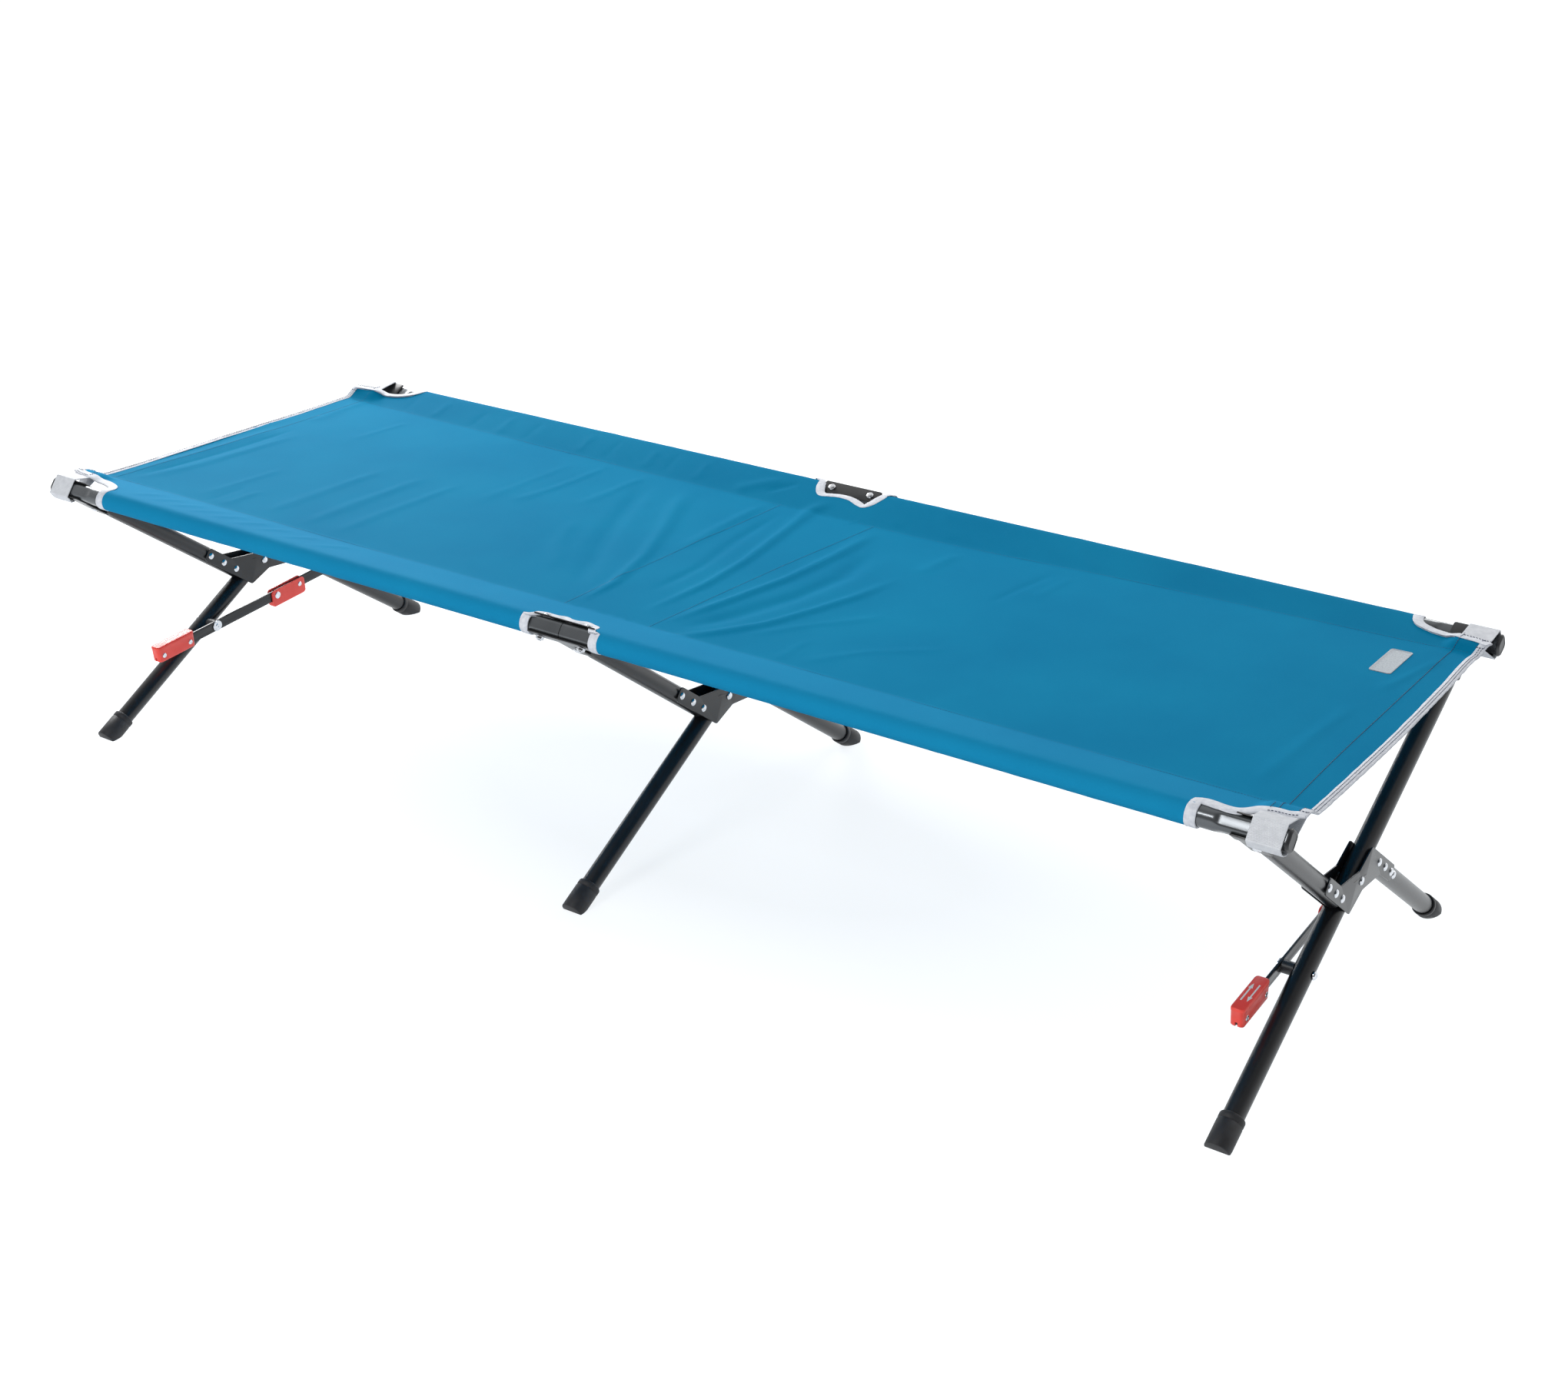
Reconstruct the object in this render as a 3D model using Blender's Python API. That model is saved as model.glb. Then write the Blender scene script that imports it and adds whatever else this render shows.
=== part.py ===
import bmesh
import bpy
from math import acos, asin, atan2, cos, hypot, pi, radians, sin
from mathutils import Matrix, Vector

# A folding camp bed: two long rails, three crossed leg sets and a sling of cloth.
# X runs along the bed, Y across it, Z up; the origin is on the floor at the middle.
# The back rail and the legs A are one rigid side, the front rail and the legs B the other.

# Driving sizes, in metres
LENGTH = 1.900            # over the end plugs
RAIL_SPACING = 0.650      # between the rails' centres
RAIL_HEIGHT = 0.390       # of the rails' centres over the floor
TUBE = 0.025              # diameter of rails and legs
TUBE_WALL = 0.0012
SQUARE = 0.0218           # across the flats where a tube end is pressed square
SQUARE_CORNER = 0.0068
FIT = 0.0003              # gap between pieces that touch
LEG_SET_INSET = 0.046     # of the end leg sets from the bed's ends
RAIL_SPLIT = 0.001        # between the halves of a rail
PLATE = 0.0016            # sheet steel of hinges, forks and brackets

# End plugs and mid hinges
PLUG_FLANGE = 0.004
PLUG_WIDTH = 0.0242
PLUG_DEPTH = 0.012
HINGE_HALF = 0.048        # half length of the mid hinge plates
HINGE_BOLT_X = 0.0326
FORK_OUTER = 0.037        # fork plates past the leg, toward the bed's end
FORK_INNER = 0.017        # and the other way
FORK_RIVET_X = 0.018      # rivet past the leg
PLATE_HALF = 0.011        # half width of the plates along the rail
STEM_HALF = 0.012
STEM_LENGTH = 0.058
STEM_RIVET = 0.038
SQUARE_RUN = 0.052        # length of a pressed square end of a rail
LEG_SQUARE_END = 0.060    # where a leg's square top ends, from the rail's centre
SQUARE_BLEND = 0.012      # of a square end's run into the round tube

# Crossing of the legs
CROSS_OFFSET = 0.0325     # of each half of leg B from the pivot
HALF_LEG_GAP = 0.037      # from the pivot along leg B to its cut ends
LOWER_FLATTER = 1.3       # degrees between leg B's lower half and its upper one
BRACKET_RIVETS = (0.048, 0.077, 0.107)
ARM_END = 0.116
ARM_LOW = 0.0425          # far edge of an arm from the pivot
ARM_HIGH = 0.0215         # near edge
ARM_CORNER = 0.004
WEB_BEND = (0.0165, 0.0075)
WEB_FOOT = 0.066
RIVET_HEAD = 0.0052       # radius
RIVET_RISE = 0.0026
RIVET_SHANK = 0.0025      # radius
BOLT = 0.003              # radius of bolts and of the pivot rivet
BOLT_HEAD = 0.0055
BOLT_RISE = 0.0033
NUT_RISE = 0.0050

# Feet
CAP = 0.0153              # outer radius
CAP_LENGTH = 0.044
CAP_FLOOR = 0.0018        # rubber under the tube at its thinnest

# Locking levers, on the inner side of the two end leg sets
LEVER_ON_LEG = 0.1376     # lever pivot from the cross pivot, along leg A
LINK_ON_LEG = 0.129       # link pin from the cross pivot, along leg B
LEVER_REACH = 0.126       # lever pivot to knuckle
BAR_WIDTH = 0.016
BAR_THICK = 0.003
BAR_STAND = 0.0218        # near face of the link bar from the leg set's plane
PIN_BOSS = 0.0065         # radius, of the link pin
SPACER = 0.0080           # radius, of the spacer behind the lever
WASHER = 0.0085           # radius
WASHER_THICK = 0.0014
HANDLE_RIVETS = (0.0605, 0.1120)
HANDLE_NEAR = 0.0505      # from the lever pivot
HANDLE_FAR = 0.1225
HANDLE_WIDTH = 0.0180
HANDLE_TOP = 0.0155
HANDLE_FLOOR = 0.0100     # below the bar's middle
HANDLE_CORNER = 0.0060
HANDLE_RIVET = 0.0020     # shank radius
HANDLE_RIVET_HEAD = 0.0037
HANDLE_RIVET_RISE = 0.0010
KNUCKLE_BACK = 0.011
KNUCKLE_FRONT = 0.0585
KNUCKLE_DEPTH = 0.0178    # below the bars' middle
KNUCKLE_WALL = 0.0023
KNUCKLE_TOP = 0.010
KNUCKLE_RIVET = 0.048     # second rivet from the knuckle pin
PIN_START = 0.0176        # near end of the link pin from the leg set's plane
BOSS_END = 0.0173         # stud on leg B that the link pin meets

# Cloth
CLOTH = 0.0012
CLOTH_GAP = 0.0006        # between rail and sleeve
SLEEVE_SEAM = 0.060       # of the sleeve's seam from the rail's centre
SLEEVE_INSET = 0.1025     # of the sleeves' ends from the bed's ends
HINGE_OPENING = 0.0490
OPENING_DEPTH = 0.028     # of the openings, from the rail's centre
CORNER_DEPTH = 0.052      # of the cloth's corner, from the rail's centre
CLOTH_INSET = 0.0015      # of the cloth's hem from the bed's ends
CLOTH_SAG = 0.006
STRAP_INSET = 0.0055      # of a strap's outer edge from the bed's ends
STRAP_WIDTH = 0.0385
STRAP_THICK = 0.0014
STRAP_EASE = 0.0006       # between the strap and what it wraps

# What follows from them
half_width = RAIL_SPACING / 2
pivot = Vector((0.0, 0.0, RAIL_HEIGHT / 2))
reach = hypot(half_width, RAIL_HEIGHT / 2)
slope_a = atan2(RAIL_HEIGHT / 2, half_width)
slope_b = slope_a + asin(CROSS_OFFSET / reach)
reach_b = (reach ** 2 - CROSS_OFFSET ** 2) ** 0.5
slope_c = slope_b - radians(LOWER_FLATTER)
reach_c = (RAIL_HEIGHT / 2 + CROSS_OFFSET * cos(slope_c)) / sin(slope_c)
tube_r = TUBE / 2
half_square = SQUARE / 2
plate_inner = half_square + FIT
plate_outer = plate_inner + PLATE
cheek_inner = tube_r + FIT
cheek_outer = cheek_inner + PLATE
web_start = half_square + 0.004
leg_top = web_start + PLATE + FIT
rail_end = LENGTH / 2 - PLUG_FLANGE - FIT
leg_set_x = LENGTH / 2 - LEG_SET_INSET
sleeve_end = LENGTH / 2 - SLEEVE_INSET
cloth_end = LENGTH / 2 - CLOTH_INSET
strap_end = LENGTH / 2 - STRAP_INSET
strap_start = strap_end - STRAP_WIDTH
set_places = {"left": -leg_set_x, "middle": 0.0, "right": leg_set_x}
end_signs = {"left": -1, "right": 1}

# Frames: a place and a turn about X. In the rail and leg frames Y runs along the legs.
frame_a = (pivot, slope_a)
frame_b = (pivot, -slope_b)
frame_c = (pivot, -slope_c)
rail_frames = {
    "back": (Vector((0.0, half_width, RAIL_HEIGHT)), slope_a, -1),
    "front": (Vector((0.0, -half_width, RAIL_HEIGHT)), -slope_b, 1),
}


def in_frame(frame, y, z):
    place, turn = frame[0], frame[1]
    return place + Vector((0.0, y * cos(turn) - z * sin(turn), y * sin(turn) + z * cos(turn)))


lever_pivot = in_frame(frame_a, -LEVER_ON_LEG, 0.0)
link_pin = in_frame(frame_c, LINK_ON_LEG, CROSS_OFFSET)
lever_turn = atan2(link_pin.z - lever_pivot.z, link_pin.y - lever_pivot.y)
knuckle = in_frame((lever_pivot, lever_turn), LEVER_REACH, 0.0)
link_reach = (link_pin - knuckle).length
lever_near = BAR_STAND + BAR_THICK + FIT
lever_far = lever_near + BAR_THICK


# Start from an empty scene

for old in list(bpy.data.objects):
    bpy.data.objects.remove(old, do_unlink=True)


def make_material(name, colour, roughness, metallic):
    material = bpy.data.materials.new(name)
    material.use_nodes = True
    shader = material.node_tree.nodes["Principled BSDF"]
    shader.inputs["Base Color"].default_value = (*colour, 1.0)
    shader.inputs["Roughness"].default_value = roughness
    shader.inputs["Metallic"].default_value = metallic
    material.diffuse_color = (*colour, 1.0)
    return material


rail_paint = make_material("grey_enamel_steel", (0.10, 0.10, 0.11), 0.32, 0.7)
leg_paint = make_material("black_powder_coat", (0.018, 0.019, 0.021), 0.36, 0.3)
zinc = make_material("zinc_plated_steel", (0.62, 0.64, 0.66), 0.28, 1.0)
rubber = make_material("black_rubber", (0.022, 0.022, 0.023), 0.62, 0.0)
black_plastic = make_material("black_moulded_plastic", (0.020, 0.020, 0.021), 0.45, 0.0)
red_plastic = make_material("red_moulded_nylon", (0.82, 0.045, 0.035), 0.42, 0.0)
cloth_blue = make_material("blue_polyester_oxford", (0.013, 0.185, 0.375), 0.78, 0.0)
webbing = make_material("pale_grey_webbing", (0.60, 0.62, 0.64), 0.85, 0.0)


def make_axis(name, place, parent=None):
    axis = bpy.data.objects.new(name, None)
    axis.empty_display_size = 0.03
    if parent is not None:
        axis.parent = parent
        axis["world_place"] = tuple(place)
        axis.location = place - Vector(parent["world_place"])
    else:
        axis["world_place"] = tuple(place)
        axis.location = place
    bpy.context.collection.objects.link(axis)
    return axis


fold_axis = make_axis("fold_axis", pivot)
lever_axes = {}
link_axes = {}
for side, sign in end_signs.items():
    inward = Vector((sign * leg_set_x, 0.0, 0.0))
    lever_axes[side] = make_axis("lever_axis_" + side, lever_pivot + inward)
    link_axes[side] = make_axis("link_axis_" + side, knuckle + inward, lever_axes[side])


def finish_mesh(bm, name):
    bmesh.ops.remove_doubles(bm, verts=bm.verts, dist=0.000001)
    bmesh.ops.recalc_face_normals(bm, faces=bm.faces)
    mesh = bpy.data.meshes.new(name)
    bm.to_mesh(mesh)
    bm.free()
    mesh.shade_smooth()
    mesh.set_sharp_from_angle(angle=radians(35))
    return mesh


def place_object(name, mesh, material, place, turn=0.0, parent=None):
    obj = bpy.data.objects.new(name, mesh)
    if material is not None and not mesh.materials:
        mesh.materials.append(material)
    obj.rotation_euler = (turn, 0.0, 0.0)
    if parent is not None:
        obj.parent = parent
        obj.location = place - Vector(parent["world_place"])
    else:
        obj.location = place
    bpy.context.collection.objects.link(obj)
    return obj


def combine(obj, tool_mesh, operation):
    tool = bpy.data.objects.new(operation.lower() + "_" + obj.name, tool_mesh)
    tool.parent = obj.parent
    tool.location = obj.location
    tool.rotation_euler = obj.rotation_euler
    tool.hide_render = True
    tool.display_type = "WIRE"
    bpy.context.collection.objects.link(tool)
    modifier = obj.modifiers.new(operation.title(), "BOOLEAN")
    modifier.operation = operation
    modifier.solver = "EXACT"
    modifier.object = tool


# Shapes

def rounded_square(half, radius, per_corner=4):
    points = []
    for corner in range(4):
        spread = half - radius
        centre = (spread * (1 if corner in (0, 3) else -1), spread * (1 if corner < 2 else -1))
        for step in range(per_corner):
            angle = (corner + (step + 0.5) / per_corner) * pi / 2
            points.append((centre[0] + radius * cos(angle), centre[1] + radius * sin(angle)))
    return points


def add_loft(bm, stations, along):
    rings = []
    for position, half, radius in stations:
        ring = []
        for a, b in rounded_square(half, radius):
            ring.append(bm.verts.new((position, a, b) if along == "X" else (a, position, b)))
        rings.append(ring)
    for first, second in zip(rings, rings[1:]):
        bridge(bm, first, second)
    return rings


def bridge(bm, first, second):
    count = len(first)
    for i in range(count):
        j = (i + 1) % count
        bm.faces.new((first[i], first[j], second[j], second[i]))


def tube_mesh(name, stations, along, offset=(0.0, 0.0)):
    bm = bmesh.new()
    outer = add_loft(bm, stations, along)
    inner = add_loft(bm, [(p, h - TUBE_WALL, r - TUBE_WALL) for p, h, r in stations], along)
    bridge(bm, outer[0], inner[0])
    bridge(bm, outer[-1], inner[-1])
    shift = Vector((0.0, 0.0, offset[1])) if along == "Y" else Vector((0.0, offset[0], offset[1]))
    bmesh.ops.translate(bm, verts=bm.verts, vec=shift)
    return finish_mesh(bm, name)


def turn_profile(bm, profile, along, centre, segments=8):
    # profile: radius and position from pole to pole, or round a closed ring
    rings = []
    for radius, position in profile:
        ring = []
        count = segments if radius > 0.0 else 1
        for k in range(count):
            angle = (k + 0.5) * 2 * pi / segments
            a, b = radius * cos(angle), radius * sin(angle)
            if along == "X":
                co = (centre[0] + position, centre[1] + a, centre[2] + b)
            elif along == "Y":
                co = (centre[0] + a, centre[1] + position, centre[2] + b)
            else:
                co = (centre[0] + a, centre[1] + b, centre[2] + position)
            ring.append(bm.verts.new(co))
        rings.append(ring)
    for first, second in zip(rings, rings[1:]):
        if len(first) == 1:
            fan(bm, second, first[0])
        elif len(second) == 1:
            fan(bm, first, second[0])
        else:
            bridge(bm, first, second)
    return rings


def fan(bm, ring, pole):
    for i in range(len(ring)):
        bm.faces.new((ring[i], ring[(i + 1) % len(ring)], pole))


def pins_mesh(name, centres, radius, low, high, along):
    bm = bmesh.new()
    for centre in centres:
        profile = ((0.0, low), (radius, low), (radius, high), (0.0, high))
        turn_profile(bm, profile, along, centre)
    return finish_mesh(bm, name)


def circle(centre, radius, segments=8):
    turns = [(k + 0.5) * 2 * pi / segments for k in range(segments)]
    return [(centre[0] + radius * cos(turn), centre[1] + radius * sin(turn)) for turn in turns]


def add_plate(bm, outline, low_loops, high_loops, low, high, to_point):
    # a flat plate whose faces leave the given loops open; returns those loops' vertices
    sides = []
    for loops, level in ((low_loops, low), (high_loops, high)):
        rings = []
        for loop in [outline] + list(loops):
            rings.append([bm.verts.new(to_point(a, b, level)) for a, b in loop])
        edges = []
        for ring in rings:
            for i in range(len(ring)):
                edges.append(bm.edges.new((ring[i], ring[(i + 1) % len(ring)])))
        bmesh.ops.triangle_fill(bm, use_beauty=True, use_dissolve=False, edges=edges)
        sides.append(rings)
    bridge(bm, sides[0][0], sides[1][0])
    return sides[0][1:], sides[1][1:]


def add_dome(bm, ring, axis, rise):
    # closes a ring with a domed rivet head that rises along axis
    centre = sum((v.co for v in ring), Vector()) / len(ring)
    last = ring
    for share, lift in ((0.93, 0.45), (0.62, 0.86)):
        level = []
        for v in ring:
            level.append(bm.verts.new(centre + (v.co - centre) * share + axis * rise * lift))
        bridge(bm, last, level)
        last = level
    fan(bm, last, bm.verts.new(centre + axis * rise))


def round_corners(points, radius, steps=3):
    result = []
    count = len(points)
    for i, point in enumerate(points):
        before = Vector(points[i - 1]) - Vector(point)
        after = Vector(points[(i + 1) % count]) - Vector(point)
        angle = before.angle(after)
        reach_in = radius * cos(angle / 2) / sin(angle / 2)
        start = Vector(point) + before.normalized() * reach_in
        end = Vector(point) + after.normalized() * reach_in
        for k in range(steps + 1):
            t = k / steps
            middle = Vector(point)
            here = start * (1 - t) ** 2 + middle * 2 * t * (1 - t) + end * t ** 2
            result.append((here.x, here.y))
    return result


# Rails, pressed square at both ends

def rail_stations(sign):
    first = RAIL_SPLIT / 2
    last = rail_end
    stations = [
        (first, half_square, SQUARE_CORNER),
        (first + SQUARE_RUN, half_square, SQUARE_CORNER),
        (first + SQUARE_RUN + SQUARE_BLEND, tube_r, tube_r),
        (last - SQUARE_RUN - SQUARE_BLEND - FORK_INNER, tube_r, tube_r),
        (last - SQUARE_RUN - FORK_INNER, half_square, SQUARE_CORNER),
        (last, half_square, SQUARE_CORNER),
    ]
    return [(sign * p, h, r) for p, h, r in stations]


def make_rails(row):
    place, turn, toward = rail_frames[row]
    parent = fold_axis if row == "front" else None
    for side, sign in end_signs.items():
        mesh = tube_mesh(f"{row}_rail_{side}", rail_stations(sign), "X")
        rail = place_object(f"{row}_rail_{side}", mesh, rail_paint, place, turn, parent)
        bolts = [(sign * HINGE_BOLT_X, 0.0, 0.0), (sign * (leg_set_x + FORK_RIVET_X), 0.0, 0.0)]
        holes = pins_mesh("bolt_holes", bolts, BOLT + FIT, -TUBE, TUBE, "Z")
        combine(rail, holes, "DIFFERENCE")
        plug = place_object(f"{row}_plug_{side}", plug_mesh(sign), black_plastic, place, turn, parent)
        plug.data.name = plug.name


def plug_mesh(sign):
    bm = bmesh.new()
    stub = half_square - TUBE_WALL - FIT
    flange = PLUG_WIDTH / 2
    stations = [
        (rail_end - PLUG_DEPTH, stub - 0.001, SQUARE_CORNER - 0.002),
        (rail_end - PLUG_DEPTH + 0.003, stub, SQUARE_CORNER - 0.0015),
        (rail_end + FIT, stub, SQUARE_CORNER - 0.0015),
        (rail_end + FIT, flange, SQUARE_CORNER + 0.001),
        (LENGTH / 2 - 0.001, flange, SQUARE_CORNER + 0.001),
        (LENGTH / 2, flange - 0.001, SQUARE_CORNER),
    ]
    rings = add_loft(bm, [(sign * p, h, r) for p, h, r in stations], "X")
    bm.faces.new(rings[0])
    bm.faces.new(rings[-1])
    return finish_mesh(bm, "plug")


# Sheet-steel hinge plates and forks that join the leg tops to the rails

def tee_outline(low_x, high_x):
    points = [
        (low_x, -PLATE_HALF), (high_x, -PLATE_HALF), (high_x, PLATE_HALF), (STEM_HALF, PLATE_HALF),
        (STEM_HALF, STEM_LENGTH), (-STEM_HALF, STEM_LENGTH), (-STEM_HALF, PLATE_HALF), (low_x, PLATE_HALF),
    ]
    if low_x == -STEM_HALF:
        points = points[:-1]
    return points


def hinge_plate_mesh(level_sign, toward):
    bm = bmesh.new()
    outline = tee_outline(-HINGE_HALF, HINGE_HALF)
    holes = [circle((x, 0.0), BOLT + FIT) for x in (-HINGE_BOLT_X, HINGE_BOLT_X)]
    head = circle((0.0, STEM_RIVET), RIVET_HEAD)

    def to_point(a, b, level):
        return (a, toward * b, level_sign * level)

    low, high = add_plate(bm, outline, holes, holes + [head], plate_inner, plate_outer, to_point)
    bridge(bm, low[0], high[0])
    bridge(bm, low[1], high[1])
    add_dome(bm, high[2], Vector((0.0, 0.0, level_sign)), RIVET_RISE)
    return finish_mesh(bm, "hinge_plate")


def fork_mesh(end_sign, toward):
    # two plates and the web between them, which closes the leg's top
    bm = bmesh.new()
    edges_x = sorted((-end_sign * FORK_INNER, end_sign * FORK_OUTER))
    outline = tee_outline(edges_x[0], edges_x[1])
    bolt = circle((end_sign * FORK_RIVET_X, 0.0), BOLT + FIT)
    head = circle((0.0, STEM_RIVET), RIVET_HEAD)
    web = [
        (-PLATE_HALF, web_start), (PLATE_HALF, web_start),
        (PLATE_HALF, web_start + PLATE), (-PLATE_HALF, web_start + PLATE),
    ]
    webs = []
    for level_sign in (1, -1):
        def to_point(a, b, level, level_sign=level_sign):
            return (a, toward * b, level_sign * level)

        low, high = add_plate(bm, outline, [bolt, web], [bolt, head], plate_inner, plate_outer, to_point)
        bridge(bm, low[0], high[0])
        add_dome(bm, high[1], Vector((0.0, 0.0, level_sign)), RIVET_RISE)
        webs.append(low[1])
    bridge(bm, webs[0], webs[1])
    return finish_mesh(bm, "fork")


def bolt_mesh():
    # head on the upper face, nut on the lower face
    bm = bmesh.new()
    head = plate_outer + FIT
    profile = (
        (0.0, -head - NUT_RISE - 0.001), (BOLT, -head - NUT_RISE - 0.001), (BOLT, -head - NUT_RISE),
        (BOLT_HEAD, -head - NUT_RISE), (BOLT_HEAD, -head), (BOLT, -head), (BOLT, head),
        (BOLT_HEAD, head), (BOLT_HEAD * 0.9, head + BOLT_RISE * 0.6), (BOLT_HEAD * 0.5, head + BOLT_RISE),
        (0.0, head + BOLT_RISE),
    )
    turn_profile(bm, profile, "Z", (0.0, 0.0, 0.0))
    return finish_mesh(bm, "bolt")


def rivet_profile(face):
    # a shank with a domed head on each face
    profile = []
    for sign in (-1, 1):
        side = [
            (0.0, sign * (face + RIVET_RISE)), (BOLT_HEAD * 0.62, sign * (face + RIVET_RISE * 0.86)),
            (BOLT_HEAD * 0.93, sign * (face + RIVET_RISE * 0.45)), (BOLT_HEAD, sign * face),
            (BOLT, sign * face),
        ]
        profile += side if sign < 0 else side[::-1]
    return profile


def rivet_mesh(name, face, along):
    bm = bmesh.new()
    turn_profile(bm, rivet_profile(face), along, (0.0, 0.0, 0.0))
    return finish_mesh(bm, name)


def make_rail_joints(row):
    place, turn, toward = rail_frames[row]
    parent = fold_axis if row == "front" else None
    bolt = bolt_mesh()
    rivet = rivet_mesh("fork_rivet", plate_outer + FIT, "Z")
    for level, level_sign in (("upper", 1), ("lower", -1)):
        mesh = hinge_plate_mesh(level_sign, toward)
        place_object(f"{row}_hinge_plate_{level}", mesh, leg_paint, place, turn, parent)
    for side, sign in end_signs.items():
        at_hinge = place + Vector((sign * HINGE_BOLT_X, 0.0, 0.0))
        place_object(f"{row}_hinge_bolt_{side}", bolt, zinc, at_hinge, turn, parent)
        at_leg = place + Vector((sign * leg_set_x, 0.0, 0.0))
        place_object(f"{row}_fork_{side}", fork_mesh(sign, toward), leg_paint, at_leg, turn, parent)
        at_rivet = at_leg + Vector((sign * FORK_RIVET_X, 0.0, 0.0))
        place_object(f"{row}_fork_rivet_{side}", rivet, zinc, at_rivet, turn, parent)


# Legs

def tube_stop(turn):
    # where a leg's tube ends above the floor, inside its rubber foot
    return ((tube_r + FIT) * cos(turn) + CAP_FLOOR) / sin(turn)


def leg_top_stations(far, direction):
    # from the rail's underside down the leg; far is the rail's distance from the pivot
    first = far - leg_top
    return [
        (direction * first, half_square, SQUARE_CORNER),
        (direction * (far - LEG_SQUARE_END), half_square, SQUARE_CORNER),
        (direction * (far - LEG_SQUARE_END - SQUARE_BLEND), tube_r, tube_r),
    ]


def make_legs():
    stations = leg_top_stations(reach, 1) + [(-reach + tube_stop(slope_a), tube_r, tube_r)]
    leg_a = tube_mesh("leg_a", stations, "Y")
    stations = leg_top_stations(reach_b, -1) + [(-HALF_LEG_GAP, tube_r, tube_r)]
    leg_b_upper = tube_mesh("leg_b_upper", stations, "Y", (0.0, -CROSS_OFFSET))
    stations = [(HALF_LEG_GAP, tube_r, tube_r), (reach_c - tube_stop(slope_c), tube_r, tube_r)]
    leg_b_lower = tube_mesh("leg_b_lower", stations, "Y", (0.0, CROSS_OFFSET))
    pivot_hole = pins_mesh("pivot_hole", [(0.0, 0.0, 0.0)], BOLT + FIT, -TUBE, TUBE, "X")
    lever_holes = pins_mesh(
        "lever_holes", [(0.0, 0.0, 0.0), (0.0, -LEVER_ON_LEG, 0.0)], BOLT + FIT, -TUBE, TUBE, "X"
    )
    upper_centres = [(0.0, -u, -CROSS_OFFSET) for u in BRACKET_RIVETS]
    lower_centres = [(0.0, u, CROSS_OFFSET) for u in BRACKET_RIVETS]
    upper_holes = pins_mesh("upper_holes", upper_centres, RIVET_SHANK + FIT, -TUBE, TUBE, "X")
    lower_holes = pins_mesh("lower_holes", lower_centres, RIVET_SHANK + FIT, -TUBE, TUBE, "X")
    for name, x in set_places.items():
        at = pivot + Vector((x, 0.0, 0.0))
        leg = place_object("leg_a_" + name, leg_a.copy(), leg_paint, at, slope_a)
        combine(leg, pivot_hole if name == "middle" else lever_holes, "DIFFERENCE")
        upper = place_object("leg_b_upper_" + name, leg_b_upper.copy(), leg_paint, at, -slope_b, fold_axis)
        combine(upper, upper_holes, "DIFFERENCE")
        lower = place_object("leg_b_lower_" + name, leg_b_lower.copy(), leg_paint, at, -slope_c, fold_axis)
        combine(lower, lower_holes, "DIFFERENCE")
        if name != "middle":
            combine(lower, link_stud_mesh(-end_signs[name]), "UNION")


def link_stud_mesh(inward):
    # the stud through leg B that the link turns on: a rivet head outside, a boss inside
    bm = bmesh.new()
    skin = tube_r * 0.9
    profile = [
        (0.0, -inward * (tube_r + RIVET_RISE)), (RIVET_HEAD * 0.7, -inward * (tube_r + RIVET_RISE * 0.7)),
        (RIVET_HEAD, -inward * tube_r), (RIVET_HEAD, -inward * skin), (RIVET_SHANK, -inward * skin),
        (RIVET_SHANK, inward * skin), (PIN_BOSS, inward * skin), (PIN_BOSS, inward * BOSS_END),
        (0.0, inward * BOSS_END),
    ]
    turn_profile(bm, profile, "X", (0.0, LINK_ON_LEG, CROSS_OFFSET))
    return finish_mesh(bm, "link_stud")


def foot_mesh(far, direction, turn, offset):
    # rubber foot: a bored cap on the leg's end, cut flat by the floor
    bm = bmesh.new()
    stop = tube_stop(turn)
    bore = tube_r + FIT
    profile = (
        (0.0, 0.0), (CAP - 0.001, 0.0), (CAP, 0.001), (CAP, CAP_LENGTH - 0.0008), (CAP - 0.0008, CAP_LENGTH),
        (bore, CAP_LENGTH), (bore, stop - FIT), (0.0, stop - FIT),
    )
    ring_profile = [(r, direction * (far - s)) for r, s in profile]
    turn_profile(bm, ring_profile, "Y", (0.0, 0.0, offset), segments=16)
    angle = turn if direction < 0 else -turn
    up = Vector((0.0, sin(angle), cos(angle)))
    cut = bmesh.ops.bisect_plane(
        bm, geom=bm.verts[:] + bm.edges[:] + bm.faces[:], plane_co=-up * pivot.z, plane_no=-up,
        clear_outer=True
    )
    rim = [e for e in cut["geom_cut"] if isinstance(e, bmesh.types.BMEdge)]
    bmesh.ops.edgeloop_fill(bm, edges=rim)
    return finish_mesh(bm, "foot")


def make_feet():
    front = foot_mesh(reach, -1, slope_a, 0.0)
    back = foot_mesh(reach_c, 1, slope_c, CROSS_OFFSET)
    for name, x in set_places.items():
        at = pivot + Vector((x, 0.0, 0.0))
        place_object("front_foot_" + name, front, rubber, at, slope_a)
        place_object("back_foot_" + name, back, rubber, at, -slope_c, fold_axis)


# Cross brackets: two pressed cheeks riveted to both halves of leg B, with leg A between them

def on_lower_arm(a, b):
    turn = radians(LOWER_FLATTER)
    return a * cos(turn) - b * sin(turn), a * sin(turn) + b * cos(turn)


def bracket_outline():
    arm = [(-WEB_FOOT, -ARM_HIGH), (-ARM_END, -ARM_HIGH), (-ARM_END, -ARM_LOW), (-ARM_CORNER, -ARM_LOW)]
    bend = (WEB_BEND[0], -WEB_BEND[1])
    whole = arm + [bend] + [on_lower_arm(-a, -b) for a, b in arm] + [(-bend[0], -bend[1])]
    return round_corners(whole, 0.003, 1)


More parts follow.
